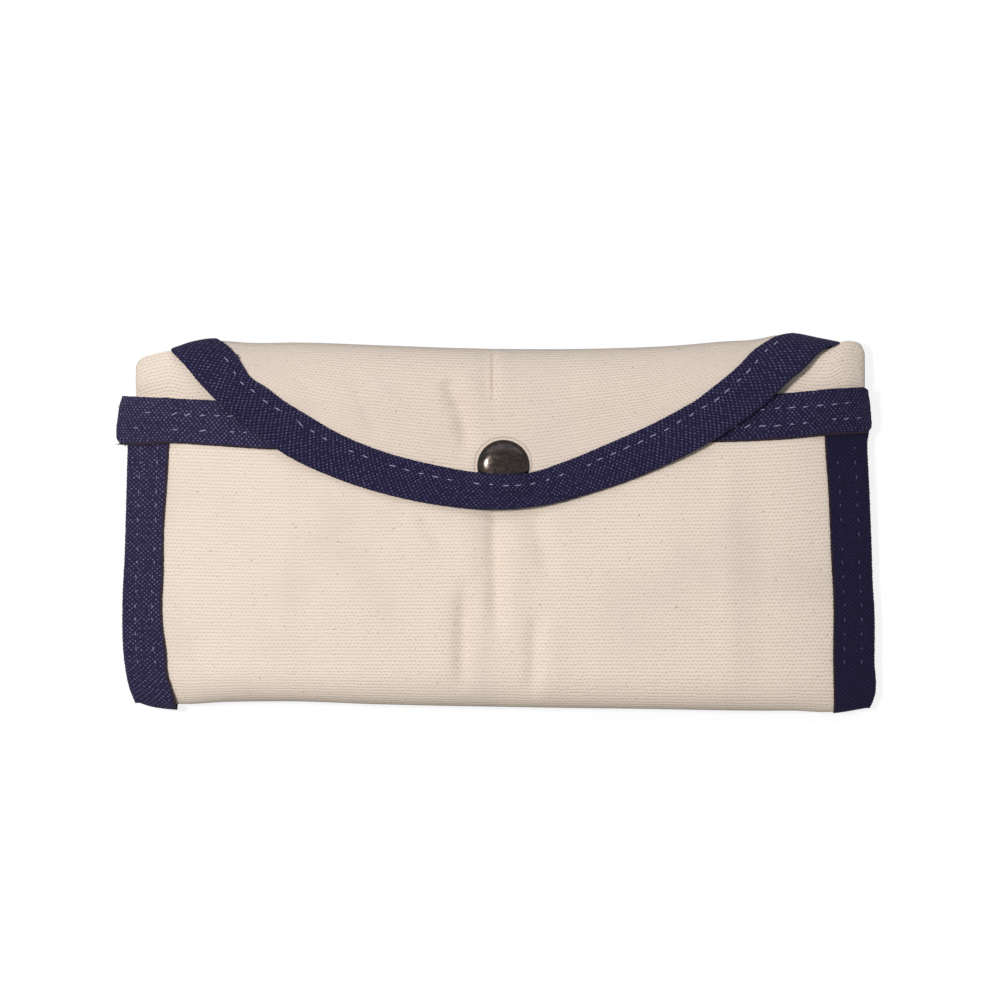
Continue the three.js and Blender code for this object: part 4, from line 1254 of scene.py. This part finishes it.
def sewSide(side, inset, name):
    y = np.linspace(24.5, pouch["bottomFoldY"] - 2, 160)
    edge, inner = sideOutline(side, y)
    x = side * lerp(edge, inner, (inset + 0.2 * ripples(y, y * 0, 50, inset)) / (edge - inner))
    spots, higher = (together(x, y, frontFace(x, y) + lift) for lift in stitchLifts)
    # painted shade: the right side's stitches are a darker copy of the thread
    thread = sideThread if side < 0 else shadedThread
    sewRow("sideSeam." + name, spots, higher, "pouch", thread, stitching["sideShown"])


def makeFray(name, first, last, outward, body, count):
    # loose threads at a cut end: fine tapered strands along a short stretch
    outward = np.array(outward, float)
    points, faces, uvs = [], [], []
    angles = np.linspace(0, 2 * math.pi, 5, endpoint=False)
    steps = np.linspace(0, 1, 6)
    shortest, more = fray["length"]
    for strand in range(count):
        root = lerp(first, last, chance.random()) + chance.normal(0, 0.05, 3)
        way = unit(outward + chance.normal(0, fray["spread"], 3) * (1, 1, 0.3))
        curl = chance.normal(0, fray["curl"], 3) * (1, 1, 0.2)
        length = shortest + more * chance.random() ** 2
        faces += closedTube(len(points), len(steps), len(angles))
        for t in steps:
            centre = root + (way * t + curl * t * t * 0.4) * length - way * fray["buried"]
            thick = fray["thread"] * (1 - 0.6 * t)
            for angle in angles:
                across, up = math.cos(angle), math.sin(angle)
                points.append(centre + np.array([across, up * 0.7, up]) * thick)
                uvs.append((t, angle))
    strands = makeMesh(name, np.array(points), faces, np.array(uvs), frayThread, body)


def frayEnds():
    top, bottom = rimPoint(np.array([-110.6, -111.4]), np.array([2, 13]), 0.1)
    makeFray("rimFray.left", top, bottom, (-1, -0.2, 0), "pouch", 22)
    left, right = rimPoint(np.array([-111.4, -106]), np.array([14.2, 14.2]), 0.1)
    makeFray("rimFray.corner", left, right, (-0.3, -1, 0), "pouch", 14)
    place, width = flapBandSurface(300)
    ones = np.ones((300, 1))
    spots = place(width[:, None], 0.4 * ones, ones)[:, 0]
    corner = spots[np.hypot(spots[:, 0] + 75.5, spots[:, 1] - 49.2).argmin()]
    makeFray("flapFray", corner, corner + (0.8, -0.8, 0), (0.8, 0.7, 0.1), "flap", 9)


sewFlap()
frayEnds()
for name, inset in stitching["rimInsets"].items():
    sewRim(inset, name)
for side, sideName in ((-1, "left"), (1, "right")):
    for name, inset in stitching["sideInsets"].items():
        sewSide(side, inset, sideName + name)
print("stitches made")


# in metres, as Blender has them
view = {
    "lens": 120,
    "middle": (0.00103, 0.00703),
    "height": 0.9883,
    "worldLight": 0.26,
    "lampPower": 7.4,
    "lampAt": (-0.38, 0.1, 1.0),
    "lampSize": (0.14, 0.14),
    "topLampPower": 2.0,
    "topLampAt": (0, 0.52, 0.8),
    "topLampSize": (1.4, 0.4),
    "topLampColour": (0.75, 0.85, 1.0),
    "floorColour": 0.18,
    "floorGlow": 0.84,
    "floorHalf": 3,
    "floorLevel": -0.0004,
}


def placed(name, data):
    thing = bpy.data.objects.new(name, data)
    bpy.context.scene.collection.objects.link(thing)
    return thing


def seenRays(tree):
    # 1 for the rays that show the white background, 0 for those that light the bag
    rays = tree.nodes.new("ShaderNodeLightPath").outputs
    mirrored = reckon(tree, "MAXIMUM", rays["Is Glossy Ray"], rays["Is Transmission Ray"])
    return reckon(tree, "MAXIMUM", rays["Is Camera Ray"], mirrored)


def makeFloor():
    tone = view["floorColour"]
    material, tree, shader = newMaterial("paleFloor", {
        "Roughness": 1.0, "Base Color": (tone, tone, tone, 1), "Emission Color": (1, 1, 1, 1)})
    glow = times(tree, seenRays(tree), view["floorGlow"])
    tree.links.new(glow, shader.inputs["Emission Strength"])
    half, level = view["floorHalf"], view["floorLevel"]
    mesh = bpy.data.meshes.new("floor")
    corners = [(x * half, y * half, level) for x, y in ((-1, -1), (1, -1), (1, 1), (-1, 1))]
    mesh.from_pydata(corners, [], [(0, 1, 2, 3)])
    mesh.materials.append(material)
    placed("floor", mesh)


def makeLamp(name, kind, colour):
    lamp = bpy.data.lights.new(name, "AREA")
    lamp.energy = view[kind + "Power"]
    lamp.shape = "ELLIPSE"
    lamp.size, lamp.size_y = view[kind + "Size"]
    lamp.color = colour
    holder = placed(name, lamp)
    holder.location = view[kind + "At"]
    aim = -holder.location
    holder.rotation_euler = aim.to_track_quat("-Z", "Y").to_euler()


def makeLight():
    world = bpy.data.worlds.new("studio")
    bpy.context.scene.world = world
    world.use_nodes = True
    tree = world.node_tree
    background = tree.nodes["Background"]
    background.inputs["Color"].default_value = (1, 1, 1, 1)
    strength = addNode(tree, "ShaderNodeMapRange", {}, i0=seenRays(tree), i3=view["worldLight"], i4=1.0)
    tree.links.new(strength.outputs[0], background.inputs["Strength"])
    makeLamp("softbox", "lamp", (1, 1, 1))
    makeLamp("topStrip", "topLamp", view["topLampColour"])


def makeCamera():
    lens = bpy.data.cameras.new("camera")
    lens.lens = view["lens"]
    lens.sensor_width = 36
    lens.clip_start = 0.01
    camera = placed("camera", lens)
    camera.location = (*view["middle"], view["height"])
    bpy.context.scene.camera = camera


makeFloor()
makeLight()
makeCamera()
bpy.context.scene.view_settings.view_transform = "Standard"
print("floor, light and camera set")
